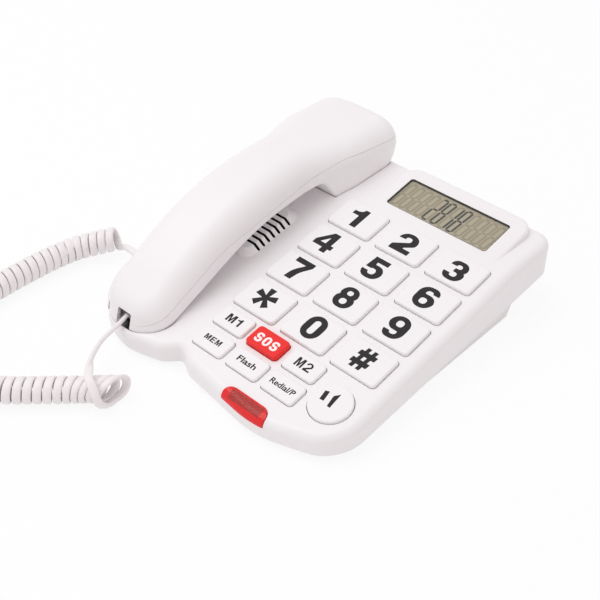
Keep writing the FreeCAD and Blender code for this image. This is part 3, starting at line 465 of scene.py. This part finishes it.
def base_lead(axis, start):
    """Lead from the last curl to the base's plug, lying flat."""
    leaving = heading(curl_point, axis, 360 * COIL_CURLS)
    onward = axis.at(COIL_CURLS * COIL_PITCH)[1]
    clear = start + (leaving + onward) * EXIT_REACH + Vector((0, 0, EXIT_RISE))
    controls = [start, start + leaving * EXIT_REACH / 2, clear] + centred(BASE_LEAD)
    return [(point, None, CORD_WIDTH) for point in spline_points("base_lead", controls)[1:]]


def cord_line():
    """Whole cord from plug to plug as (point, direction of its wide side or None to lie flat, width)."""
    axis = Axis(spline_points("coil_route", centred(COIL_ROUTE)))
    turns = coil_turns(axis)
    places = [point for point, along in turns]
    coil = [(point, along, width) for (point, along), width in zip(turns, curl_widths(places))]
    return handset_lead(axis, *turns[0]) + coil + base_lead(axis, places[-1])


def squared(value):
    """Cosine or sine drawn out towards a square section."""
    return math.copysign(abs(value) ** CORD_SQUARE, value)


def square_to(direction, tangent):
    """Direction turned square to a tangent, at unit length."""
    return (direction - tangent * direction.dot(tangent)).normalized()


def cord_mesh(line):
    """Flat tube along the cord's line, and the points of its centre line."""
    points = [point for point, wide, width in line]
    last = len(points) - 1
    verts = []
    previous = None
    for i, (point, wide, width) in enumerate(line):
        tangent = (points[min(i + 1, last)] - points[max(i - 1, 0)]).normalized()
        wide = square_to(wide or tangent.cross(Vector((0, 0, 1))), tangent)
        if previous is not None:
            if wide.dot(previous) < 0:
                wide = -wide
            wide = square_to(wide + previous * TWIST_DRAG, tangent)
        previous = wide
        thin = tangent.cross(wide)
        for j in range(CORD_SIDES):
            turn = 2 * math.pi * j / CORD_SIDES
            across = wide * (squared(math.cos(turn)) * width / 2)
            verts.append(point + across + thin * (squared(math.sin(turn)) * CORD_THICK / 2))
    faces = []
    for i in range(last):
        near, far = i * CORD_SIDES, (i + 1) * CORD_SIDES
        for j in range(CORD_SIDES):
            k = (j + 1) % CORD_SIDES
            faces.append((near + j, near + k, far + k, far + j))
    faces.append(tuple(reversed(range(CORD_SIDES))))
    faces.append(tuple(range(last * CORD_SIDES, (last + 1) * CORD_SIDES)))
    mesh = bpy.data.meshes.new("curly_cord")
    mesh.from_pydata(verts, [], faces)
    mesh.validate()
    return mesh, points


cord_shape, cord_points = cord_mesh(cord_line())
curly_cord = dressed(added("curly_cord", cord_shape), cord_white)
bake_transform(curly_cord)
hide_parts("cord_coil", "cord_handset_lead", "cord_base_lead")


# Marks on the panel: drawn in millimetres as (x, up the slope, out of the panel)

INK_PROUD = 0.03
INK_SINK = 0.05
KEY_SKIN = 0.1
ARC_STEP = 15.0
WELD = 0.0001
TEXT_SIZE = 10.0
TEXT_BOLD = 0.24

press = next(j for j in frame["joints"] if j["child"] == "key_5")
panel_out = -Vector(press["axis"]).normalized()
panel_up = panel_out.cross(Vector((1, 0, 0))).normalized()
PANEL = Matrix(((1, 0, 0), panel_up, panel_out)).transposed().to_4x4()
PANEL_MM = PANEL @ Matrix.Scale(MM, 4)


def panel_places(node):
    """Points of a node in panel millimetres."""
    return [PANEL.inverted() @ v.co / MM for v in cad[node].data.vertices]


def panel_box(node, skin=None):
    """Lowest and highest corner of a node in panel millimetres, or of the skin under its top alone."""
    places = panel_places(node)
    top = max(p.z for p in places)
    if skin is not None:
        places = [p for p in places if p.z > top - skin]
    lows = [min(p[i] for p in places) for i in range(3)]
    highs = [max(p[i] for p in places) for i in range(3)]
    return Vector(lows), Vector(highs)


def rounded(corners):
    """Closed outline through corners given as (x, y) or (x, y, radius)."""
    outline = []
    for i, (x, y, *rest) in enumerate(corners):
        corner = Vector((x, y))
        if not rest:
            outline.append(corner)
            continue
        before = (Vector(corners[i - 1][:2]) - corner).normalized()
        after = (Vector(corners[(i + 1) % len(corners)][:2]) - corner).normalized()
        half = before.angle(after) / 2
        centre = corner + (before + after).normalized() * (rest[0] / math.sin(half))
        start = corner + before * (rest[0] / math.tan(half)) - centre
        sweep = start.angle_signed(corner + after * (rest[0] / math.tan(half)) - centre)
        steps = max(2, round(abs(math.degrees(sweep)) / ARC_STEP))
        for j in range(steps + 1):
            outline.append(centre + Matrix.Rotation(-sweep * j / steps, 2) @ start)
    return outline


def solid_of(name, curve, shift):
    """Welded mesh of a filled curve or text, moved by the shift."""
    holder = added(name, curve)
    mesh = bpy.data.meshes.new_from_object(holder)
    bpy.data.objects.remove(holder)
    bpy.data.curves.remove(curve)
    work = bmesh.new()
    work.from_mesh(mesh)
    bmesh.ops.remove_doubles(work, verts=work.verts, dist=WELD)
    bmesh.ops.transform(work, matrix=shift, verts=work.verts)
    bmesh.ops.recalc_face_normals(work, faces=work.faces)
    work.to_mesh(mesh)
    work.free()
    mesh.materials.clear()
    return mesh


def filled(name, loops, low, high):
    """Flat closed mesh inside the loops, holes left open, between two heights."""
    curve = bpy.data.curves.new(name, "CURVE")
    curve.dimensions = "2D"
    curve.fill_mode = "BOTH"
    curve.extrude = (high - low) / 2
    for loop in loops:
        spline = curve.splines.new("POLY")
        spline.points.add(len(loop) - 1)
        spline.use_cyclic_u = True
        for point, place in zip(spline.points, loop):
            point.co = (*place[:2], 0, 1)
    return solid_of(name, curve, Matrix.Translation((0, 0, (low + high) / 2)))


def lettered(name, text):
    """Closed mesh of a short text, thickened all round."""
    curve = bpy.data.curves.new(name, "FONT")
    curve.body = text
    curve.size = TEXT_SIZE
    curve.extrude = TEXT_BOLD
    curve.bevel_depth = TEXT_BOLD
    return solid_of(name, curve, Matrix())


def fitted(mesh, lows, highs):
    """Mesh stretched to fill the box between two corners."""
    for i in range(3):
        places = [v.co[i] for v in mesh.vertices]
        least = min(places)
        scale = (highs[i] - lows[i]) / (max(places) - least)
        for v in mesh.vertices:
            v.co[i] = lows[i] + (v.co[i] - least) * scale
    return mesh


def on_panel(name, mesh, finish, body):
    """Piece from a mesh drawn in panel millimetres, riding on a body."""
    mesh.transform(PANEL_MM)
    piece = dressed(added(name, mesh), finish)
    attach(piece, body)
    return piece


# Digits as rounded outlines, the first loop outside and the rest holes, stretched to their places later

DIGIT_WIDTH = 11.0
DIGIT_HEIGHT = 14.0
SIX = [
    [(0, 0, 5.2), (11, 0, 5.2), (11, 8.9, 4.2), (3.7, 8.9, 0.6), (3.7, 11.4, 1.5), (7.2, 11.4, 1.1),
     (7.2, 10.2), (10.6, 10.2), (10.6, 14, 3.7), (0, 14, 5.2)],
    [(3.6, 2.6, 1.6), (7.4, 2.6, 1.6), (7.4, 6.4, 1.6), (3.6, 6.4, 1.6)],
]
DIGITS = {
    "0": [[(0, 0, 5.4), (11, 0, 5.4), (11, 14, 5.4), (0, 14, 5.4)],
          [(3.7, 2.8, 1.7), (7.3, 2.8, 1.7), (7.3, 11.2, 1.7), (3.7, 11.2, 1.7)]],
    "1": [[(4.2, 0), (8, 0), (8, 13.6), (5.2, 13.6), (4.2, 11.6, 1.2), (2.4, 10.9, 2.0), (0, 10.7),
           (0, 8.2), (4.2, 8.2)]],
    "2": [[(0, 0), (11, 0), (11, 3.1), (5.7, 3.1, 0.4), (11, 7.2, 2.6), (11, 14, 4.9), (0.3, 14, 4.9),
           (0.3, 9.3), (3.9, 9.3), (3.9, 11.3, 1.3), (7.3, 11.3, 1.5), (7.3, 8.5, 1.2), (0, 3.4, 1.0)]],
    "3": [[(0, 4.4), (0, 0, 4.2), (11, 0, 4.8), (11, 7.0, 2.4), (9.4, 7.4, 0.3), (10.6, 7.9, 2.0),
           (10.6, 14, 4.4), (0.5, 14, 3.8), (0.5, 10.0), (4.0, 10.0), (4.0, 11.4, 1.1), (7.1, 11.4, 1.2),
           (7.1, 8.6, 1.2), (4.2, 8.6), (4.2, 6.0), (7.3, 6.0, 1.5), (7.3, 2.7, 1.5), (3.6, 2.7, 1.3),
           (3.6, 4.4)]],
    "4": [[(6.3, 0), (9.8, 0), (9.8, 2.9), (11.6, 2.9), (11.6, 5.7), (9.8, 5.7), (9.8, 14), (6.0, 14),
           (0, 6.0), (0, 2.9), (6.3, 2.9)],
          [(6.3, 5.7), (6.3, 10.2), (3.0, 5.7)]],
    "5": [[(0, 4.3), (0, 0, 4.2), (11, 0, 4.8), (11, 9.3, 4.4), (4.3, 9.3, 0.6), (4.3, 11.0), (10.2, 11.0),
           (10.2, 14), (1.3, 14), (0.6, 6.2), (3.9, 6.2), (4.4, 6.7, 0.6), (7.3, 6.7, 1.7), (7.3, 2.7, 1.7),
           (3.6, 2.7, 1.3), (3.6, 4.3)]],
    "6": SIX,
    "7": [[(2.2, 0), (6.1, 0), (7.2, 5.6, 9), (11, 11.4), (11, 14), (0, 14), (0, 10.9), (7.0, 10.9),
           (3.1, 5.5, 9)]],
    "8": [[(0, 0, 4.8), (11, 0, 4.8), (11, 7.1, 2.6), (9.7, 7.5, 0.3), (10.5, 7.9, 2.2), (10.5, 14, 4.6),
           (0.5, 14, 4.6), (0.5, 7.9, 2.2), (1.3, 7.5, 0.3), (0, 7.1, 2.6)],
          [(3.6, 2.5, 1.6), (7.4, 2.5, 1.6), (7.4, 6.1, 1.6), (3.6, 6.1, 1.6)],
          [(3.9, 8.6, 1.2), (7.1, 8.6, 1.2), (7.1, 11.5, 1.2), (3.9, 11.5, 1.2)]],
    "9": [[(DIGIT_WIDTH - x, DIGIT_HEIGHT - y, *r) for x, y, *r in loop] for loop in SIX],
}


# Heavy letters and figures of the words, as tall as the digits

CAPITALS = {
    "S": [[(0, 4.4), (0, 0, 4.2), (11, 0, 4.4), (11, 8.4, 3.8), (3.6, 8.4, 1.4), (3.6, 11.2, 1.4),
           (7.2, 11.2, 1.2), (7.2, 9.8), (10.8, 9.8), (10.8, 14, 4.0), (0.2, 14, 4.4), (0.2, 5.6, 3.8),
           (7.4, 5.6, 1.4), (7.4, 2.8, 1.4), (3.7, 2.8, 1.3), (3.7, 4.4)]],
    "O": DIGITS["0"],
    "M": [[(0, 0), (2.5, 0), (2.5, 9.8), (4.6, 0), (6.4, 0), (8.5, 9.8), (8.5, 0), (11, 0), (11, 14),
           (7.4, 14), (5.5, 5.4), (3.6, 14), (0, 14)]],
    "E": [[(0, 0), (9.4, 0), (9.4, 2.5), (2.9, 2.5), (2.9, 5.9), (8.7, 5.9), (8.7, 8.3), (2.9, 8.3),
           (2.9, 11.5), (9.2, 11.5), (9.2, 14), (0, 14)]],
    "1": [[(3.6, 0), (6.2, 0), (6.2, 14), (4.2, 14), (3.6, 12.3, 1.0), (2.1, 11.4, 1.6), (0, 11.2),
           (0, 9.0), (3.6, 9.0)]],
    "2": [[(0, 0), (9.6, 0), (9.6, 2.4), (3.8, 2.4, 0.3), (9.5, 7.6, 2.4), (9.5, 14, 4.5), (0.3, 14, 4.5),
           (0.3, 9.7), (2.9, 9.7), (2.9, 11.7, 1.7), (6.9, 11.7, 1.9), (6.9, 8.5, 1.4), (0, 2.7, 0.8)]],
}
CAPITAL_GAP = 2.4


def spelled(word):
    """Outlines of a word in heavy letters."""
    loops = []
    shift = Vector((0, 0))
    for letter in word:
        shapes = [rounded(loop) for loop in CAPITALS[letter]]
        loops += [[p + shift for p in shape] for shape in shapes]
        shift.x += max(p.x for p in shapes[0]) + CAPITAL_GAP
    return loops


# Signs: star, hash and the two bars of the hands-free key

STAR_ARMS = 5
STAR_ARM = 4.0
STAR_REACH = 6.6
STAR_FORK = 2.0
HASH_ARMS = 4
HASH_GAP = 2.0
HASH_BAR = 2.5
HASH_REACH = 5.6
HASH_SLANT = 0.16


def spun(arm, count):
    """Outline of one arm repeated clockwise round the middle."""
    turns = [Matrix.Rotation(math.radians(-360 * k / count), 2) for k in range(count)]
    return [turn @ Vector(point) for turn in turns for point in arm]


def slanted(loop, slant, still):
    """Outline that leans over to the right, about the height that stays still."""
    return [Vector((p[0] + slant * (p[1] - still), p[1])) for p in loop]


def star():
    """Star whose arms widen outwards."""
    half = STAR_ARM / 2
    fork = Matrix.Rotation(math.radians(-180 / STAR_ARMS), 2) @ Vector((0, STAR_FORK))
    return [spun([(-half, STAR_REACH), (half, STAR_REACH), fork], STAR_ARMS)]


def hash_sign():
    """Four crossing bars with a slant, as one outline and its middle hole."""
    near, far = HASH_GAP / 2, HASH_GAP / 2 + HASH_BAR
    arm = [(far, -near), (HASH_REACH, -near), (HASH_REACH, -far), (far, -far), (far, -HASH_REACH),
           (near, -HASH_REACH), (near, -far)]
    hole = [(-near, -near), (near, -near), (near, near), (-near, near)]
    return [slanted(loop, HASH_SLANT, 0) for loop in (spun(arm, HASH_ARMS), hole)]


SIGNS = {
    "star": star(),
    "hash": hash_sign(),
    "speaker": [[(0.9, 1.0), (3.1, 1.3), (2.1, 6.8), (0, 6.1)],
                [(6.1, 0.1), (7.8, 0), (7.2, 8.6), (5.0, 6.0)]],
}
WORDS = {"flash": "Flash", "redial": "Redial/P"}
HEAVY_WORDS = {"sos": "SOS", "mem": "MEM", "m1": "M1", "m2": "M2"}

# Where each mark lies on its key: left, right, front and rear of the key's middle
MARKS = {
    "star": (-6.8, 6.1, -5.7, 7.1), "0": (-5.4, 5.4, -6.5, 8.0), "hash": (-5.6, 4.9, -6.3, 6.6),
    "7": (-5.8, 5.3, -6.1, 8.1), "8": (-5.6, 5.2, -6.0, 8.0), "9": (-5.7, 5.2, -6.4, 7.9),
    "4": (-7.9, 3.9, -6.2, 7.8), "5": (-7.1, 4.1, -6.4, 7.6), "6": (-6.6, 4.5, -6.6, 7.2),
    "1": (-5.1, 2.9, -6.6, 6.6), "2": (-6.1, 5.4, -6.9, 6.5), "3": (-5.5, 5.3, -7.4, 5.8),
    "m1": (-4.3, 4.3, -2.0, 2.8), "sos": (-6.8, 6.8, -3.2, 2.3), "m2": (-4.5, 4.6, -2.3, 2.9),
    "mem": (-5.3, 4.7, -1.3, 1.9), "flash": (-6.0, 5.3, -1.5, 1.8), "redial": (-7.3, 7.1, -1.6, 1.6),
    "speaker": (-6.1, 1.7, -2.5, 6.1),
}


def mark_loops(key):
    """Outlines of a key's heavy word, digit or sign."""
    if key in HEAVY_WORDS:
        return spelled(HEAVY_WORDS[key])
    if key in DIGITS:
        return [rounded(loop) for loop in DIGITS[key]]
    return SIGNS[key]


def key_mark(key):
    """Printed mark on a key's top."""
    body = "key_" + key
    name = "mark_" + key
    low, high = panel_box(body, KEY_SKIN)
    bottom, top = high.z - INK_SINK, high.z + INK_PROUD
    if key in WORDS:
        mesh = lettered(name, WORDS[key])
    else:
        mesh = filled(name, mark_loops(key), bottom, top)
    middle = (low + high) / 2
    left, right, front, rear = MARKS[key]
    lows = (middle.x + left, middle.y + front, bottom)
    highs = (middle.x + right, middle.y + rear, top)
    finish, slot = (ink_white, "key_red") if key == "sos" else (ink, "key_white")
    on_panel(name, fitted(mesh, lows, highs), finish, body)


for key in MARKS:
    key_mark(key)


# Display: liquid-crystal face, lit bars, pale ghosts of the others, dark liner and clear cover

HOUSING_WALL = 2.4
WINDOW_LAP = 1.6
WINDOW_ROUND = 1.6
FACE_DEPTH = 1.3
FACE_FIT = 0.05
LINER = 0.3
PANE_DEPTH = 0.3
LCD_CELLS = 12
LCD_DIGITS = {4: "2", 5: "8", 6: "1", 7: "8"}
LCD_CELL = 5.05
LCD_SIZE = (4.5, 18.4)
LCD_STROKE = 1.25
LCD_GAP = 0.12
LCD_SLANT = 0.085
ALL_BARS = "abcdefg"
LIT_BARS = {"2": "abged", "8": ALL_BARS, "1": "bc"}


def panel_height():
    """Height of the panel's outer face, a wall above the display's window."""
    return panel_box("display_window")[1].z + HOUSING_WALL


def bar_outline(name, left, front):
    """Outline of one bar of a seven-bar digit."""
    width, length = LCD_SIZE
    half = LCD_STROKE / 2
    right, rear, mid = left + width, front + length, front + length / 2
    level = {"a": rear - half, "g": mid, "d": front + half}
    if name in level:
        y = level[name]
        x0, x1 = left + half + LCD_GAP, right - half - LCD_GAP
        return [(x0, y), (x0 + half, y - half), (x1 - half, y - half), (x1, y), (x1 - half, y + half),
                (x0 + half, y + half)]
    x = left + half if name in "ef" else right - half
    y0, y1 = (mid, rear - half) if name in "bf" else (front + half, mid)
    y0, y1 = y0 + LCD_GAP, y1 - LCD_GAP
    return [(x, y0), (x + half, y0 + half), (x + half, y1 - half), (x, y1), (x - half, y1 - half),
            (x - half, y0 + half)]


def lcd_bars(middle):
    """Outlines of the lit bars and of the unlit ones, round the display's middle."""
    left = middle.x - LCD_CELLS * LCD_CELL / 2 + (LCD_CELL - LCD_SIZE[0]) / 2
    front = middle.y - LCD_SIZE[1] / 2
    lit, ghosts = [], []
    for cell in range(LCD_CELLS):
        shown = LIT_BARS[LCD_DIGITS[cell]] if cell in LCD_DIGITS else ""
        for name in ALL_BARS:
            bar = slanted(bar_outline(name, left + cell * LCD_CELL, front), LCD_SLANT, middle.y)
            (lit if name in shown else ghosts).append(bar)
    return lit, ghosts


def window_outline(low, high, inset):
    """Opening of the display, drawn in by an inset."""
    round_by = max(WINDOW_ROUND - inset, WINDOW_ROUND / 2)
    left, right = low.x + WINDOW_LAP + inset, high.x - WINDOW_LAP - inset
    front, rear = low.y + WINDOW_LAP + inset, high.y - WINDOW_LAP - inset
    corners = [(right, rear), (left, rear), (left, front), (right, front)]
    return rounded([(x, y, round_by) for x, y in corners])


def display():
    """Liquid-crystal face in the panel's opening, its marks, dark liner and clear cover."""
    low, high = panel_box("display_window")
    panel = panel_height()
    face = panel - FACE_DEPTH
    bottom, top = face - INK_SINK, face + INK_PROUD
    lit, ghosts = lcd_bars((low + high) / 2)
    on_panel("lcd_digits", filled("lcd_digits", lit, bottom, top), lcd_mark, "base")
    on_panel("lcd_ghosts", filled("lcd_ghosts", ghosts, bottom, top), lcd_ghost, "base")
    opening = window_outline(low, high, FACE_FIT)
    within = window_outline(low, high, FACE_FIT + LINER)
    on_panel("lcd_face", filled("lcd_face", [opening], high.z, face), lcd_ground, "base")
    liner = filled("window_liner", [opening, within], face, panel - PANE_DEPTH / 2)
    on_panel("window_liner", liner, part_black, "base")
    pane = filled("window_cover", [within], face + 2 * INK_PROUD, panel - PANE_DEPTH)
    on_panel("window_cover", pane, window_clear, "base")


display()


# Black strips of painted shade in the speaker slots, and the lens's waffle

MOUND_HEIGHT = 3.0
MOUND_HALF = 19.5
SLOT_COUNT = 7
SLOT_PITCH = 3.75
SLOT_WIDTH = 1.6
# Strips of painted shade in the slots: depth under the outline, thickness and fit
SLOT_SHADE_DEPTH = 0.25
SLOT_SHADE_THICK = 0.8
SLOT_SHADE_FIT = 0.05
WAFFLE_CELL = 1.25
WAFFLE_RIDGE = 0.5
WAFFLE_PROUD = 0.12
WAFFLE_THICK = 0.3
WAFFLE_ENDS = (4.2, 3.4)
WAFFLE_EDGES = (1.0, 2.2)
PROBE_RISE = 1.0


def plated(name, tops, thick, holes=()):
    """Closed mesh of a thickness under rows of top points, open at the cells named as holes."""
    rows, columns = len(tops), len(tops[0])
    verts = [p for row in tops for p in row]
    under = len(verts)
    verts += [p - Vector((0, 0, thick)) for p in verts]
    kept = {(i, j) for i in range(rows - 1) for j in range(columns - 1)}.difference(holes)
    faces = []
    for i, j in sorted(kept):
        a, b = i * columns + j, i * columns + j + 1
        c, d = b + columns, a + columns
        faces += [(a, b, c, d), (under + d, under + c, under + b, under + a)]
        sides = {(i - 1, j): (a, b), (i, j + 1): (b, c), (i + 1, j): (c, d), (i, j - 1): (d, a)}
        for beyond, (p, q) in sides.items():
            if beyond not in kept:
                faces.append((q, p, under + p, under + q))
    mesh = bpy.data.meshes.new(name)
    mesh.from_pydata(verts, [], faces)
    return mesh


def slot_shade_strips():
    """Black strip in each speaker slot, just under the mound's outline, painting the shade inside the slot."""
    panel = panel_height() - SLOT_SHADE_DEPTH
    left, right = [corner[0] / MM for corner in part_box("loudspeaker")]
    front, rear = [corner.y for corner in panel_box("loudspeaker")]
    reach, shoulder = MOUND_HALF - SLOT_SHADE_FIT, MOUND_HALF - MOUND_HEIGHT
    profile = [(-reach, -SLOT_SHADE_DEPTH), (-shoulder, MOUND_HEIGHT), (shoulder, MOUND_HEIGHT),
               (reach, -SLOT_SHADE_DEPTH)]
    half = SLOT_WIDTH / 2 - SLOT_SHADE_FIT
    x = (left + right) / 2
    for i in range(SLOT_COUNT):
        y = (front + rear) / 2 + (i - (SLOT_COUNT - 1) / 2) * SLOT_PITCH
        tops = []
        for side in (-half, half):
            tops.append([Vector((x + out, y + side, panel + rise)) for out, rise in profile])
        name = f"slot_shade_strips_{i + 1}"
        on_panel(name, plated(name, tops, SLOT_SHADE_THICK), slot_shade_black, "base")


def ridge_lines(start, end):
    """Both edges of every ridge across the waffle."""
    count = round((end - start - WAFFLE_RIDGE) / WAFFLE_CELL)
    lines = []
    for k in range(count + 1):
        ridge = start + (end - start - WAFFLE_RIDGE) * k / count
        lines += [ridge, ridge + WAFFLE_RIDGE]
    return lines


def lens_waffle():
    """Waffle of thin ridges on the top of the lamp's lens."""
    lens = cad["lamp_lens"].data
    skin = BVHTree.FromPolygons(panel_places("lamp_lens"), [tuple(p.vertices) for p in lens.polygons])
    low, high = panel_box("lamp_lens")
    columns = ridge_lines(low.x + WAFFLE_ENDS[0], high.x - WAFFLE_ENDS[1])
    rows = ridge_lines(low.y + WAFFLE_EDGES[1], high.y - WAFFLE_EDGES[0])
    above, down = high.z + PROBE_RISE, Vector((0, 0, -1))
    tops = []
    for y in rows:
        spots = [skin.ray_cast(Vector((x, y, above)), down)[0] for x in columns]
        tops.append([spot + Vector((0, 0, WAFFLE_PROUD)) for spot in spots])
    holes = [(i, j) for i in range(1, len(rows), 2) for j in range(1, len(columns), 2)]
    mesh = plated("lens_waffle", tops, WAFFLE_THICK, holes)
    on_panel("lens_waffle", mesh, lamp_grid, "base")


slot_shade_strips()
lens_waffle()


# Contacts in the line jack, in metres

CONTACT_COUNT = 4
CONTACT_PITCH = 0.00102
CONTACT_HALF = 0.0002
CONTACT_LAP = 0.0009


def jack_contacts():
    """Sprung wires that rise from the jack's back wall to its roof."""
    jack = next(o for o in frame["record"]["physics"]["openings"] if o["name"] == "line_jack")["box_m"]
    (left, back, foot), (right, mouth, roof) = jack
    low, high = back - CONTACT_LAP, (back + mouth) / 2
    tip, thick = roof + CONTACT_LAP, 2 * CONTACT_HALF
    side = [(low, foot), (high, tip - thick), (high, tip), (low, foot + thick)]
    verts, faces = [], []
    for i in range(CONTACT_COUNT):
        x = (left + right) / 2 + (i - (CONTACT_COUNT - 1) / 2) * CONTACT_PITCH
        a = len(verts)
        verts += [(x - CONTACT_HALF, y, z) for y, z in side] + [(x + CONTACT_HALF, y, z) for y, z in side]
        faces += [(a + 3, a + 2, a + 1, a), (a + 4, a + 5, a + 6, a + 7)]
        faces += [(a + k, a + (k + 1) % 4, a + 4 + (k + 1) % 4, a + 4 + k) for k in range(4)]
    mesh = bpy.data.meshes.new("line_contacts")
    mesh.from_pydata(verts, [], faces)
    contacts = dressed(added("line_contacts", mesh), contact_gold)
    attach(contacts, "base")


jack_contacts()


# Floor, world and lamp: metres, watts and shares of white

FLOOR_SIZE = 6.0
FLOOR_SHARE = 0.88
AMBIENT = 0.71
AMBIENT_TINT = (1.0, 0.955, 0.955)
LAMP_PLACE = (-0.40, -0.28, 1.2)
LAMP_POWER = 5.8
LAMP_SIZE = 1.0
LAMP_TINT = (0.95, 0.99, 1.0)


def seen_directly(tree):
    """1 for rays that look straight at a thing, in a mirror or through glass."""
    path = new_node(tree, "LightPath").outputs
    return greatest(tree, [path[name] for name in ("Is Camera Ray", "Is Glossy Ray", "Is Transmission Ray")])


def floor_finish():
    """Pale floor that looks white and keeps the object's shadow."""
    finish = Finish("floor", FLOOR_WHITE, 0.9).mottled(500, 0.004)
    tree = finish.tree
    glow = new_node(tree, "Emission")
    mix = new_node(tree, "MixShader")
    share = new_node(tree, "Math", operation="MULTIPLY")
    share.inputs[1].default_value = FLOOR_SHARE
    tree.links.new(seen_directly(tree), share.inputs[0])
    tree.links.new(share.outputs[0], mix.inputs["Fac"])
    tree.links.new(finish.shader.outputs["BSDF"], mix.inputs[1])
    tree.links.new(glow.outputs["Emission"], mix.inputs[2])
    tree.links.new(mix.outputs["Shader"], tree.nodes["Material Output"].inputs["Surface"])
    return finish


def add_floor():
    """Level ground under the object."""
    half = FLOOR_SIZE / 2
    mesh = bpy.data.meshes.new("floor")
    corners = [(-half, -half, 0), (half, -half, 0), (half, half, 0), (-half, half, 0)]
    mesh.from_pydata(corners, [], [(0, 1, 2, 3)])
    floor = dressed(added("floor", mesh), floor_finish())


def add_world():
    """White surroundings, dimmer and warmer for the light that they give."""
    world = bpy.data.worlds.new("studio")
    scene.world = world
    world.use_nodes = True
    tree = world.node_tree
    mix = colour_mix(tree, seen_directly(tree))
    mix.inputs[MIX_A].default_value = (*[AMBIENT * c for c in AMBIENT_TINT], 1)
    mix.inputs[MIX_B].default_value = (1, 1, 1, 1)
    tree.links.new(mix.outputs[MIX_RESULT], tree.nodes["Background"].inputs["Color"])


def add_softbox():
    """Square lamp that faces the object."""
    lamp = bpy.data.lights.new("softbox_top", "AREA")
    lamp.energy = LAMP_POWER
    lamp.size = LAMP_SIZE
    lamp.color = LAMP_TINT
    holder = added("softbox_top", lamp)
    holder.location = LAMP_PLACE
    holder.rotation_euler = (-Vector(LAMP_PLACE)).to_track_quat("-Z", "Y").to_euler()


add_floor()
add_world()
add_softbox()
